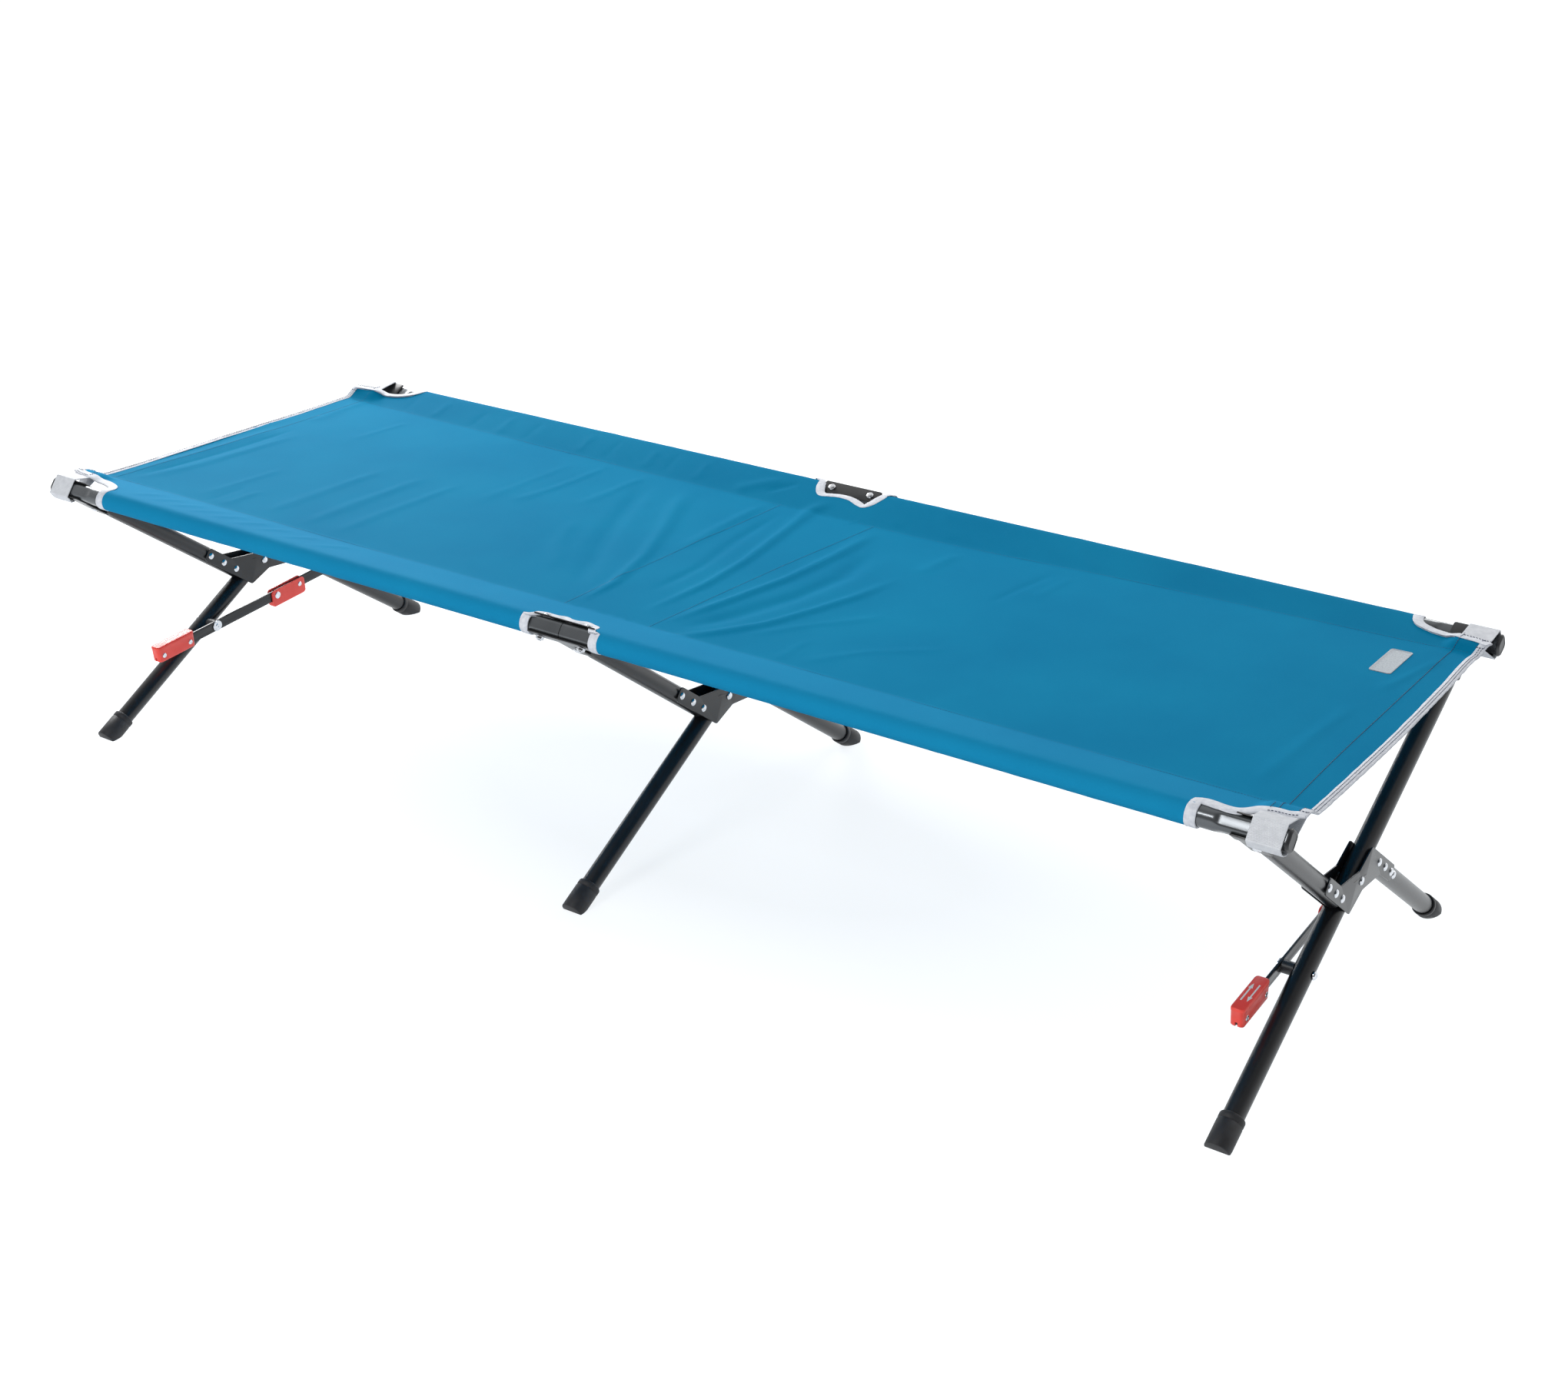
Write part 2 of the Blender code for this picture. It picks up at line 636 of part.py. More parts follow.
def bracket_mesh():
    bm = bmesh.new()
    outline = bracket_outline()
    rivets = []
    for u in BRACKET_RIVETS:
        rivets += [(-u, -CROSS_OFFSET), on_lower_arm(u, CROSS_OFFSET)]
    pivot_hole = circle((0.0, 0.0), BOLT + FIT)
    shanks = [circle(c, RIVET_SHANK) for c in rivets]
    heads = [circle(c, RIVET_HEAD) for c in rivets]
    cheeks = []
    for sign in (-1, 1):
        def to_point(a, b, level, sign=sign):
            return (sign * level, a, b)

        low, high = add_plate(
            bm, outline, [pivot_hole] + shanks, [pivot_hole] + heads, cheek_inner, cheek_outer, to_point
        )
        bridge(bm, low[0], high[0])
        for ring in high[1:]:
            add_dome(bm, ring, Vector((sign, 0.0, 0.0)), RIVET_RISE)
        cheeks.append(low[1:])
    for first, second in zip(cheeks[0], cheeks[1]):
        bridge(bm, first, second)
    return finish_mesh(bm, "cross_bracket")


def make_crossings():
    bracket = bracket_mesh()
    rivet = rivet_mesh("pivot_rivet", cheek_outer + FIT, "X")
    for name, x in set_places.items():
        at = pivot + Vector((x, 0.0, 0.0))
        place_object("cross_bracket_" + name, bracket, leg_paint, at, -slope_b, fold_axis)
        place_object("pivot_rivet_" + name, rivet, zinc, at, 0.0, fold_axis)


# Locking levers: a flat bar with a handle, a knuckle and a flat link that fold like a toggle

def bar_outline(low, high, round_low=True):
    half = BAR_WIDTH / 2
    steps = 5
    points = []
    for k in range(steps + 1):
        angle = -pi / 2 + pi * k / steps
        points.append((high + half * cos(angle), half * sin(angle)))
    if round_low:
        for k in range(steps + 1):
            angle = pi / 2 + pi * k / steps
            points.append((low + half * cos(angle), half * sin(angle)))
    else:
        points += [(low, half), (low, -half)]
    return points


def lever_bar_mesh(inward):
    bm = bmesh.new()
    outline = bar_outline(-HANDLE_FAR + 0.003, LEVER_REACH, False)
    holes = [circle((0.0, 0.0), BOLT + FIT), circle((LEVER_REACH, 0.0), BOLT + FIT)]
    holes += [circle((-y, 0.0), HANDLE_RIVET + FIT) for y in HANDLE_RIVETS]

    def to_point(a, b, level):
        return (inward * level, a, b)

    low, high = add_plate(bm, outline, holes, holes, lever_near, lever_far, to_point)
    for first, second in zip(low, high):
        bridge(bm, first, second)
    return finish_mesh(bm, "lever_bar")


def lever_bolt_mesh(inward):
    # head outside leg A, spacer between leg and lever, washer and riveted end on the lever
    bm = bmesh.new()
    outside = -(tube_r + FIT)
    washer = lever_far + FIT
    end = washer + WASHER_THICK
    profile = [
        (0.0, outside - BOLT_RISE), (BOLT_HEAD * 0.6, outside - BOLT_RISE),
        (BOLT_HEAD, outside - BOLT_RISE * 0.4),
        (BOLT_HEAD, outside), (BOLT, outside), (BOLT, tube_r + FIT), (SPACER, tube_r + FIT),
        (SPACER, lever_near - FIT), (BOLT, lever_near - FIT), (BOLT, washer), (WASHER, washer), (WASHER, end),
        (HANDLE_RIVET_HEAD, end), (HANDLE_RIVET_HEAD * 0.8, end + HANDLE_RIVET_RISE),
        (0.0, end + HANDLE_RIVET_RISE),
    ]
    turn_profile(bm, [(r, inward * x) for r, x in profile], "X", (0.0, 0.0, 0.0), segments=12)
    return finish_mesh(bm, "lever_bolt")


def box_mesh(name, low, high):
    bm = bmesh.new()
    bmesh.ops.create_cube(bm, size=1.0)
    size = Vector(high) - Vector(low)
    bmesh.ops.scale(bm, verts=bm.verts, vec=size)
    bmesh.ops.translate(bm, verts=bm.verts, vec=(Vector(high) + Vector(low)) / 2)
    return finish_mesh(bm, name)


def cross_rivets_mesh(name, centres, low, high):
    bm = bmesh.new()
    for y, radius, head in centres:
        profile = (
            (0.0, low - HANDLE_RIVET_RISE), (head * 0.8, low - HANDLE_RIVET_RISE), (head, low + 0.0005),
            (radius, low + 0.0005), (radius, high - 0.0005), (head, high - 0.0005),
            (head * 0.8, high + HANDLE_RIVET_RISE), (0.0, high + HANDLE_RIVET_RISE),
        )
        turn_profile(bm, profile, "X", (0.0, y, 0.0))
    return finish_mesh(bm, name)


def make_handle(side, inward):
    middle = inward * (lever_near + lever_far) / 2
    bm = bmesh.new()
    half = HANDLE_WIDTH / 2
    outline = round_corners(
        [(middle - half, -HANDLE_FAR), (middle + half, -HANDLE_FAR), (middle + half, -HANDLE_NEAR),
         (middle - half, -HANDLE_NEAR)], HANDLE_CORNER, 3
    )
    crown = [(middle + (a - middle) * 0.88, -0.088 + (b + 0.088) * 0.97) for a, b in outline]
    lower = [bm.verts.new((a, b, -HANDLE_FLOOR)) for a, b in outline]
    upper = [bm.verts.new((a, b, HANDLE_TOP - 0.002)) for a, b in outline]
    top = [bm.verts.new((a, b, HANDLE_TOP)) for a, b in crown]
    bridge(bm, lower, upper)
    bridge(bm, upper, top)
    bm.faces.new(lower)
    bm.faces.new(top)
    mesh = finish_mesh(bm, "lever_handle_" + side)
    handle = place_object(
        "lever_handle_" + side, mesh, red_plastic, lever_axes_place(side), lever_turn, lever_axes[side]
    )
    slot_half = BAR_THICK / 2 + FIT
    slot = box_mesh(
        "handle_slot", (middle - slot_half, -HANDLE_FAR - 0.01, -BAR_WIDTH),
        (middle + slot_half, 0.0, BAR_WIDTH / 2 + FIT)
    )
    combine(handle, slot, "DIFFERENCE")
    rivets = cross_rivets_mesh(
        "handle_rivets", [(-y, HANDLE_RIVET, HANDLE_RIVET_HEAD) for y in HANDLE_RIVETS],
        middle - half, middle + half
    )
    combine(handle, rivets, "UNION")


def lever_axes_place(side):
    return Vector(lever_axes[side]["world_place"])


def make_knuckle(side, inward):
    # channel that holds the link's end and stops the lever in line; open at the top
    near = BAR_STAND - FIT - KNUCKLE_WALL
    far = lever_far + FIT + KNUCKLE_WALL
    low_x, high_x = sorted((inward * near, inward * far))
    seat = -BAR_WIDTH / 2 - 2 * FIT
    block = box_mesh(
        "knuckle_cover_" + side, (low_x, -KNUCKLE_BACK, -KNUCKLE_DEPTH), (high_x, KNUCKLE_FRONT, KNUCKLE_TOP)
    )
    place = Vector(link_axes[side]["world_place"])
    cover = place_object("knuckle_cover_" + side, block, red_plastic, place, lever_turn, link_axes[side])
    inner = sorted((inward * (near + KNUCKLE_WALL), inward * (far - KNUCKLE_WALL)))
    channel = box_mesh(
        "knuckle_channel", (inner[0], -KNUCKLE_BACK - 0.01, seat),
        (inner[1], KNUCKLE_FRONT + 0.01, KNUCKLE_TOP + 0.01)
    )
    combine(cover, channel, "DIFFERENCE")
    rivets = cross_rivets_mesh(
        "knuckle_rivets", [(0.0, BOLT, BOLT_HEAD), (KNUCKLE_RIVET, HANDLE_RIVET, HANDLE_RIVET_HEAD)],
        low_x, high_x
    )
    combine(cover, rivets, "UNION")


def link_bar_mesh(inward):
    # flat bar with its pin toward leg B at the far end
    bm = bmesh.new()
    outline = bar_outline(0.0, link_reach)
    holes = [circle((0.0, 0.0), BOLT + FIT), circle((KNUCKLE_RIVET, 0.0), HANDLE_RIVET + FIT)]
    boss = circle((link_reach, 0.0), PIN_BOSS)
    head = circle((link_reach, 0.0), BOLT_HEAD)

    def to_point(a, b, level):
        return (inward * level, a, b)

    low, high = add_plate(
        bm, outline, holes + [boss], holes + [head], BAR_STAND, BAR_STAND + BAR_THICK, to_point
    )
    bridge(bm, low[0], high[0])
    bridge(bm, low[1], high[1])
    end = [bm.verts.new((inward * PIN_START, v.co.y, v.co.z)) for v in low[2]]
    bridge(bm, low[2], end)
    bm.faces.new(end)
    add_dome(bm, high[2], Vector((inward, 0.0, 0.0)), RIVET_RISE)
    return finish_mesh(bm, "link_bar")


def make_levers():
    for side, sign in end_signs.items():
        inward = -sign
        at_lever = lever_axes_place(side)
        at_link = Vector(link_axes[side]["world_place"])
        bar = lever_bar_mesh(inward)
        place_object("lever_bar_" + side, bar, leg_paint, at_lever, lever_turn, lever_axes[side])
        place_object("lever_bolt_" + side, lever_bolt_mesh(inward), zinc, at_lever)
        make_handle(side, inward)
        link = link_bar_mesh(inward)
        place_object("link_bar_" + side, link, leg_paint, at_link, lever_turn, link_axes[side])
        make_knuckle(side, inward)


# Cloth: one sheet whose long edges fold round the rails as sleeves, and four webbing straps

def cloth_section():
    # points across the cloth's middle surface: depth from the rail, height, and which rail
    radius = tube_r + CLOTH_GAP + CLOTH / 2
    seam = (SLEEVE_SEAM, radius - CLOTH - 0.0004)
    start = atan2(seam[1], seam[0]) - acos(radius / hypot(*seam))
    steps = 7
    side = [seam]
    touch = (radius * cos(start), radius * sin(start))
    side.append(((seam[0] + touch[0]) / 2, (seam[1] + touch[1]) / 2))
    sweep = start + 1.5 * pi
    for k in range(steps + 1):
        angle = start - sweep * k / steps
        side.append((radius * cos(angle), radius * sin(angle)))
    side += [(OPENING_DEPTH, radius), (SLEEVE_SEAM, radius)]
    return side


def cloth_mesh():
    side = cloth_section()
    edge_index = len(side) - 2
    middle = [0.58, 0.29]
    flat = half_width - SLEEVE_SEAM
    across = [(-half_width + d, h, i, -1) for i, (d, h) in enumerate(side)]
    across += [(-flat * m / 0.86, side[-1][1], None, 0) for m in middle]
    across += [(0.0, side[-1][1], None, 0)]
    across += [(flat * m / 0.86, side[-1][1], None, 0) for m in reversed(middle)]
    across += [(half_width - d, h, i, 1) for i, (d, h) in reversed(list(enumerate(side)))]
    half_x = [0.0, HINGE_OPENING]
    half_x += [HINGE_OPENING + (sleeve_end - 0.06 - HINGE_OPENING) * k / 4 for k in range(1, 5)]
    half_x += [sleeve_end, sleeve_end + 0.054, cloth_end]
    stations = [-x for x in reversed(half_x[1:])] + half_x
    bm = bmesh.new()
    grid = []
    for x in stations:
        row = []
        for y, height, index, rail in across:
            py = y
            if index == edge_index and abs(x) > sleeve_end:
                py = rail * (half_width - CORNER_DEPTH)
            sag = 0.0
            if index is None:
                sag = CLOTH_SAG * (1 - (y / flat) ** 2)
            row.append(bm.verts.new((x, py, RAIL_HEIGHT + height - sag)))
        grid.append(row)
    for i in range(len(stations) - 1):
        centre = abs(stations[i] + stations[i + 1]) / 2
        open_here = centre < HINGE_OPENING or centre > sleeve_end
        for j in range(len(across) - 1):
            indices = [across[j][2], across[j + 1][2]]
            wrapped = None not in indices and min(indices) < edge_index
            if not (open_here and wrapped):
                bm.faces.new((grid[i][j], grid[i + 1][j], grid[i + 1][j + 1], grid[i][j + 1]))
    loose = [v for v in bm.verts if not v.link_faces]
    bmesh.ops.delete(bm, geom=loose, context="VERTS")
    bmesh.ops.recalc_face_normals(bm, faces=bm.faces)
    mesh = bpy.data.meshes.new("canvas")
    bm.to_mesh(mesh)
    bm.free()
    return mesh


def strap_support(turn):
    # corners of the fork and its rivet that the strap bears on, from over the rail to under it
    rivet_tip = plate_outer + FIT + RIVET_RISE
    corners = [
        (PLATE_HALF, plate_outer), (BOLT_HEAD * 0.4, rivet_tip), (-BOLT_HEAD * 0.4, rivet_tip),
        (-PLATE_HALF, plate_outer), (-PLATE_HALF, -plate_outer), (-BOLT_HEAD * 0.4, -rivet_tip),
        (BOLT_HEAD * 0.4, -rivet_tip), (PLATE_HALF, -plate_outer),
    ]
    return [Vector((u * cos(turn) + n * sin(turn), n * cos(turn) - u * sin(turn))) for u, n in corners]


def strap_path(turn):
    # middle line of the strap: depth from the rail's centre and height
    stand = STRAP_EASE + STRAP_THICK / 2
    height = tube_r + CLOTH_GAP + CLOTH / 2
    corner = Vector((CORNER_DEPTH - FIT, height))
    support = strap_support(turn)
    while height_over(corner, support[1]) > height_over(corner, support[0]):
        support = support[1:]
    points = [corner] + support + [corner - Vector((0.0, STRAP_THICK + FIT))]
    path = [points[0] + Vector((0.0, 0.0))]
    for before, here, after in zip(points, points[1:], points[2:]):
        for along in ((here - before).normalized(), (after - here).normalized()):
            spot = here + Vector((along.y, -along.x)) * stand
            if (spot - path[-1]).length > 0.0008:
                path.append(spot)
    path.append(points[-1])
    return path


def height_over(start, end):
    # slope of the line from the cloth's corner to a support
    return (end.y - start.y) / (start.x - end.x)


def strap_mesh(row, end_sign):
    # a loop of webbing from the cloth's corner round the rail's end and its fork
    place, turn, toward = rail_frames[row]
    path = strap_path(abs(turn))
    half = STRAP_THICK / 2
    left, right = [], []
    for i, point in enumerate(path):
        before = path[max(i - 1, 0)]
        after = path[min(i + 1, len(path) - 1)]
        along = (after - before).normalized()
        normal = Vector((-along.y, along.x))
        if i in (0, len(path) - 1):
            normal = Vector((0.0, -1.0 if i == 0 else 1.0))
        left.append(tuple(point + normal * half))
        right.append(tuple(point - normal * half))
    bm = bmesh.new()

    def to_point(a, b, level):
        return (end_sign * level, -toward * (half_width - a), RAIL_HEIGHT + b)

    add_plate(bm, left + right[::-1], [], [], strap_start, strap_end, to_point)
    return finish_mesh(bm, "strap")


def make_cloth():
    canvas = place_object("canvas", cloth_mesh(), cloth_blue, Vector((0.0, 0.0, 0.0)))
    thicken = canvas.modifiers.new("Thickness", "SOLIDIFY")
    thicken.thickness = CLOTH
    thicken.offset = 0.0
    thicken.use_even_offset = False
    for row in ("back", "front"):
        place, turn, toward = rail_frames[row]
        parent = fold_axis if row == "front" else None
        origin = pivot if row == "front" else Vector((0.0, 0.0, 0.0))
        for side, sign in end_signs.items():
            mesh = strap_mesh(row, sign)
            mesh.transform(Matrix.Translation(-origin))
            strap = place_object(f"{row}_strap_{side}", mesh, webbing, origin, 0.0, parent)
            # below the rail the webbing is folded clear of the leg's fork
            near, far = sorted((0.0, sign * (leg_set_x + STEM_HALF + 0.0015)))
            deep = half_width - CORNER_DEPTH - 0.01
            inner, outer = sorted((-toward * deep, -toward * (half_width + 0.007)))
            floor = RAIL_HEIGHT - 0.06
            roof = RAIL_HEIGHT + 0.003
            notch = box_mesh("strap_notch", (near, inner, floor), (far, outer, roof))
            notch.transform(Matrix.Translation(-origin))
            combine(strap, notch, "DIFFERENCE")


for row_name in ("back", "front"):
    make_rails(row_name)
    make_rail_joints(row_name)
make_legs()
make_feet()
make_crossings()
make_levers()
make_cloth()
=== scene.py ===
import bmesh
import bpy
from math import acos, asin, atan2, cos, exp, hypot, pi, radians, sin, sqrt
from mathutils import Matrix, Vector, noise


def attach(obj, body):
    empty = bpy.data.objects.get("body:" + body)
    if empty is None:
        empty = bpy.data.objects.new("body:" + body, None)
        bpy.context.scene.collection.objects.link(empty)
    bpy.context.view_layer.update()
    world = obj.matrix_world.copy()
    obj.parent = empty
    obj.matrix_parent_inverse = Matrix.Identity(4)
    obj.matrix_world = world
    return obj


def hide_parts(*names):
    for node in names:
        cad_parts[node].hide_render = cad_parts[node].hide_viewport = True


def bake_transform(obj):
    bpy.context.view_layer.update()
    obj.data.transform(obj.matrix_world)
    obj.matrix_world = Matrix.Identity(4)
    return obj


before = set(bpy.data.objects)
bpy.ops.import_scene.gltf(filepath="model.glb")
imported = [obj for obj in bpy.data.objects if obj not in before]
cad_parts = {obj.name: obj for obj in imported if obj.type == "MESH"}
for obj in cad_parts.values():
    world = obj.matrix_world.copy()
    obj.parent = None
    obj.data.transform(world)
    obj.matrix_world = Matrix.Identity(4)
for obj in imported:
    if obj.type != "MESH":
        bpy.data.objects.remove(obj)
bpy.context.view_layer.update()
print("stage: frame loaded")

# sizes that every piece shares, in metres, as on the CAD frame
bed = {
    "railY": 0.325, "railZ": 0.390, "setX": 0.904, "end": 0.950,
    "tube": 0.0125, "flat": 0.0109, "corner": 0.0068, "wall": 0.0012,
    "crossOffset": 0.0325, "flatter": 1.3, "gap": 0.0003, "plate": 0.0016,
}
reachA = hypot(bed["railY"], bed["railZ"] / 2)
slopeA = atan2(bed["railZ"] / 2, bed["railY"])
slopeB = slopeA + asin(bed["crossOffset"] / reachA)
reachB = sqrt(reachA ** 2 - bed["crossOffset"] ** 2)
slopeC = slopeB - radians(bed["flatter"])  # lower half of leg B
reachC = (bed["railZ"] / 2 + bed["crossOffset"] * cos(slopeC)) / sin(slopeC)
pivot = Vector((0.0, 0.0, bed["railZ"] / 2))
ends = {"left": -1, "right": 1}
legSets = {"left": -bed["setX"], "middle": 0.0, "right": bed["setX"]}


def frameAt(place, turn):
    return Matrix.Translation(place) @ Matrix.Rotation(turn, 4, "X")


railFrames = {
    "back": frameAt((0, bed["railY"], bed["railZ"]), slopeA),
    "front": frameAt((0, -bed["railY"], bed["railZ"]), -slopeB),
}
towardLegs = {"back": -1, "front": 1}
rowAt = {-1: "front", 1: "back"}
endAt = {-1: "left", 1: "right"}
rowBody = {"back": "back_side", "front": "front_side"}


# materials

def linear(hexText, alpha=True):  # sRGB hex to scene linear
    values = []
    for i in (0, 2, 4):
        c = int(hexText[i:i + 2], 16) / 255
        values.append(c / 12.92 if c <= 0.04045 else ((c + 0.055) / 1.055) ** 2.4)
    return (*values, 1.0) if alpha else tuple(values)


def addNode(tree, kind, settings=None, values=None, links=None):
    node = tree.nodes.new(kind)
    for key, value in (settings or {}).items():
        setattr(node, key, value)
    for key, value in (values or {}).items():
        node.inputs[key].default_value = value
    for key, source in (links or {}).items():
        tree.links.new(source, node.inputs[key])
    return node


def startMaterial(name, colour, roughness, metallic=0.0, **more):
    material = bpy.data.materials.new(name)
    material.use_nodes = True
    tree = material.node_tree
    shader = tree.nodes["Principled BSDF"]
    shader.inputs["Base Color"].default_value = linear(colour)
    shader.inputs["Roughness"].default_value = roughness
    shader.inputs["Metallic"].default_value = metallic
    for key, value in more.items():
        shader.inputs[key.replace("_", " ")].default_value = value
    return material, tree, shader


def mottle(tree, shader, low, high, scale, detail=3.0, coords="Object"):
    # colour that wanders between two shades, as dye lots and handling give
    place = addNode(tree, "ShaderNodeTexCoord")
    cloudy = addNode(tree, "ShaderNodeTexNoise", values={"Scale": scale, "Detail": detail},
                     links={"Vector": place.outputs[coords]})
    ramp = addNode(tree, "ShaderNodeValToRGB", links={"Fac": cloudy.outputs["Fac"]})
    ramp.color_ramp.elements[0].position = 0.3
    ramp.color_ramp.elements[1].position = 0.7
    ramp.color_ramp.elements[0].color = linear(low)
    ramp.color_ramp.elements[1].color = linear(high)
    tree.links.new(ramp.outputs["Color"], shader.inputs["Base Color"])


def emboss(tree, shader, height, distance, strength):
    bump = addNode(tree, "ShaderNodeBump", values={"Strength": strength, "Distance": distance},
                   links={"Height": height})
    tree.links.new(bump.outputs["Normal"], shader.inputs["Normal"])


def grain(tree, shader, scale, distance, strength=0.5, detail=2.0):
    # fine unevenness that breaks up the highlights
    place = addNode(tree, "ShaderNodeTexCoord")
    pits = addNode(tree, "ShaderNodeTexNoise", values={"Scale": scale, "Detail": detail},
                   links={"Vector": place.outputs["Object"]})
    emboss(tree, shader, pits.outputs["Fac"], distance, strength)
    return pits


def waves(tree, place, axis, pitch):
    # a ridge every pitch metres along one axis of a layer of flat places
    apart = addNode(tree, "ShaderNodeSeparateXYZ", links={"Vector": place.outputs["UV"]})
    turns = addNode(tree, "ShaderNodeMath", {"operation": "MULTIPLY"}, {1: 2 * pi / pitch},
                    {0: apart.outputs[axis]})
    return addNode(tree, "ShaderNodeMath", {"operation": "SINE"}, links={0: turns.outputs["Value"]})


# grey baked enamel on steel tube: smooth, so the pressed facets flash
railEnamel, tree, shader = startMaterial("greyBakedEnamel", "5c5f62", 0.24, 0.7)
mottle(tree, shader, "585b5e", "636669", 30.0)
grain(tree, shader, 900.0, 0.00004, 0.25)

# black powder coat: orange peel about 1.5 mm across and a satin shine
powderCoat, tree, shader = startMaterial("blackPowderCoat", "17181b", 0.30)
mottle(tree, shader, "141517", "1c1d20", 18.0)
peel = grain(tree, shader, 650.0, 0.00006, 0.35)
wear = addNode(tree, "ShaderNodeMapRange", values={"To Min": 0.25, "To Max": 0.35},
               links={"Value": peel.outputs["Fac"]})
tree.links.new(wear.outputs["Result"], shader.inputs["Roughness"])

# the same black coat painted darker on each plate's bevelled edge: a painted dark reflection line round each
# plate, where the rounded edge turns away from the light
paintedEdgeShade, tree, shader = startMaterial("blackPowderCoatPaintedEdgeShade", "08080a", 0.55, Specular_IOR_Level=0.2)
mottle(tree, shader, "060607", "0c0c0e", 200.0)

# bright zinc plate: clean metal with a slight cloud
zincPlate, tree, shader = startMaterial("brightZincPlate", "d3d6da", 0.16, 1.0)
mottle(tree, shader, "c9ccd1", "dddfe3", 300.0)

# moulded rubber: matt, faintly uneven, dusty on its edges
mouldedRubber, tree, shader = startMaterial("mouldedRubber", "222225", 0.58)
mottle(tree, shader, "1e1e20", "2b2b2e", 60.0)
grain(tree, shader, 1200.0, 0.00005, 0.4)

# moulded polypropylene of the end plugs: a little glossier than rubber
plugPlastic, tree, shader = startMaterial("blackPolypropylene", "26272a", 0.42)
grain(tree, shader, 1500.0, 0.00003, 0.3)

# glass-filled nylon, dyed through: even red with a fine spark-eroded grain
redNylon, tree, shader = startMaterial("redMouldedNylon", "fb483c", 0.38)
mottle(tree, shader, "f84538", "ff5044", 40.0)
grain(tree, shader, 2200.0, 0.00004, 0.35)

# white ink of the handles' arrows
whiteInk, tree, shader = startMaterial("whiteInk", "f4f1ee", 0.5)
mottle(tree, shader, "ece9e6", "f8f6f4", 900.0)


# mesh tools

def addPiece(name, bm, material, body, replaced=(), matrix=None, sharp=32, weld=1e-6, ride=True):
    if weld:
        bmesh.ops.remove_doubles(bm, verts=bm.verts, dist=weld)
        bmesh.ops.recalc_face_normals(bm, faces=bm.faces)
    mesh = bpy.data.meshes.new(name)
    bm.to_mesh(mesh)
    bm.free()
    if matrix is not None:
        mesh.transform(matrix)
    mesh.materials.clear()
    mesh.materials.append(material)
    mesh.shade_smooth()
    mesh.set_sharp_from_angle(angle=radians(sharp))
    piece = bpy.data.objects.new(name, mesh)
    bpy.context.collection.objects.link(piece)
    if ride:
        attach(piece, body)
    if replaced:
        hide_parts(*replaced)
    return piece


def useModifiers(piece, sharp=32):
    # keeps what the modifiers make and takes them off
    bpy.context.view_layer.update()
    shown = piece.evaluated_get(bpy.context.evaluated_depsgraph_get())
    mesh = bpy.data.meshes.new_from_object(shown)
    mesh.name = piece.name
    piece.modifiers.clear()
    piece.data = mesh
    mesh.shade_smooth()
    mesh.set_sharp_from_angle(angle=radians(sharp))
    return piece


def bevelPiece(piece, width, segments=2, angle=32, edgeShadeMaterial=None):
    edge = piece.modifiers.new("edge", "BEVEL")
    # the bevel's faces can take a second material: the painted dark reflection line on the edge
    if edgeShadeMaterial:
        piece.data.materials.append(edgeShadeMaterial)
        edge.material = 1
    edge.width = width
    edge.segments = segments
    edge.limit_method = "ANGLE"
    edge.angle_limit = radians(angle)
    return useModifiers(piece)


def bridge(bm, first, second):
    for i in range(len(first)):
        j = (i + 1) % len(first)
        bm.faces.new((first[i], first[j], second[j], second[i]))


def loft(bm, rings, capped=True):
    # skin over rings of corners, with a face over both ends
    for first, second in zip(rings, rings[1:]):
        bridge(bm, first, second)
    if capped:
        bm.faces.new(rings[0])
        bm.faces.new(rings[-1])


def fan(bm, ring, pole):
    for i in range(len(ring)):
        bm.faces.new((ring[i], ring[(i + 1) % len(ring)], pole))


def roundedSquare(half, radius, perCorner=12):
    points = []
    for corner in range(4):
        cx = (half - radius) * (1 if corner in (0, 3) else -1)
        cy = (half - radius) * (1 if corner < 2 else -1)
        for step in range(perCorner):
            angle = (corner + (step + 0.5) / perCorner) * pi / 2
            points.append((cx + radius * cos(angle), cy + radius * sin(angle)))
    return points


def ease(t):
    t = min(1.0, max(0.0, t))
    return t * t * (3 - 2 * t)


def turned(bm, profile, along="X", centre=(0, 0, 0), segments=32, way=1):
    # a lathe: profile holds radius and place along the axis; way -1 turns it end for end
    rings = []
    for radius, place in profile:
        place, ring = place * way, []
        for k in range(segments if radius > 0 else 1):
            angle = (k + 0.5) * 2 * pi / segments
            a, b = radius * cos(angle), radius * sin(angle)
            spot = {"X": (place, a, b), "Y": (a, place, b), "Z": (a, b, place)}[along]
            ring.append(bm.verts.new(Vector(centre) + Vector(spot)))
        rings.append(ring)
    for first, second in zip(rings, rings[1:]):
        if len(first) == 1:
            fan(bm, second, first[0])
        elif len(second) == 1:
            fan(bm, first, second[0])
        else:
            bridge(bm, first, second)
    return rings


def domeHead(top, radius, shank):
    # half profile of a pressed rivet head that stands on the level top
    return [(shank, top), (radius, top), (radius - 0.0001, top + 0.0008), (radius - 0.0010, top + 0.0019),
            (0.0026, top + 0.0025), (0, top + 0.0026)]


def circle(centre, radius, segments=24):
    return [(centre[0] + radius * cos((k + 0.5) * 2 * pi / segments),
             centre[1] + radius * sin((k + 0.5) * 2 * pi / segments)) for k in range(segments)]


def softCorners(points, radius, steps=4):
    result = []
    for i, point in enumerate(points):
        here = Vector(point)
        before = Vector(points[i - 1]) - here
        after = Vector(points[(i + 1) % len(points)]) - here
        angle = before.angle(after)
        inset = min(radius * cos(angle / 2) / sin(angle / 2), before.length * 0.48, after.length * 0.48)
        start = here + before.normalized() * inset
        end = here + after.normalized() * inset
        for k in range(steps + 1):
            t = k / steps
            result.append(tuple(start * (1 - t) ** 2 + here * 2 * t * (1 - t) + end * t ** 2))
    return result


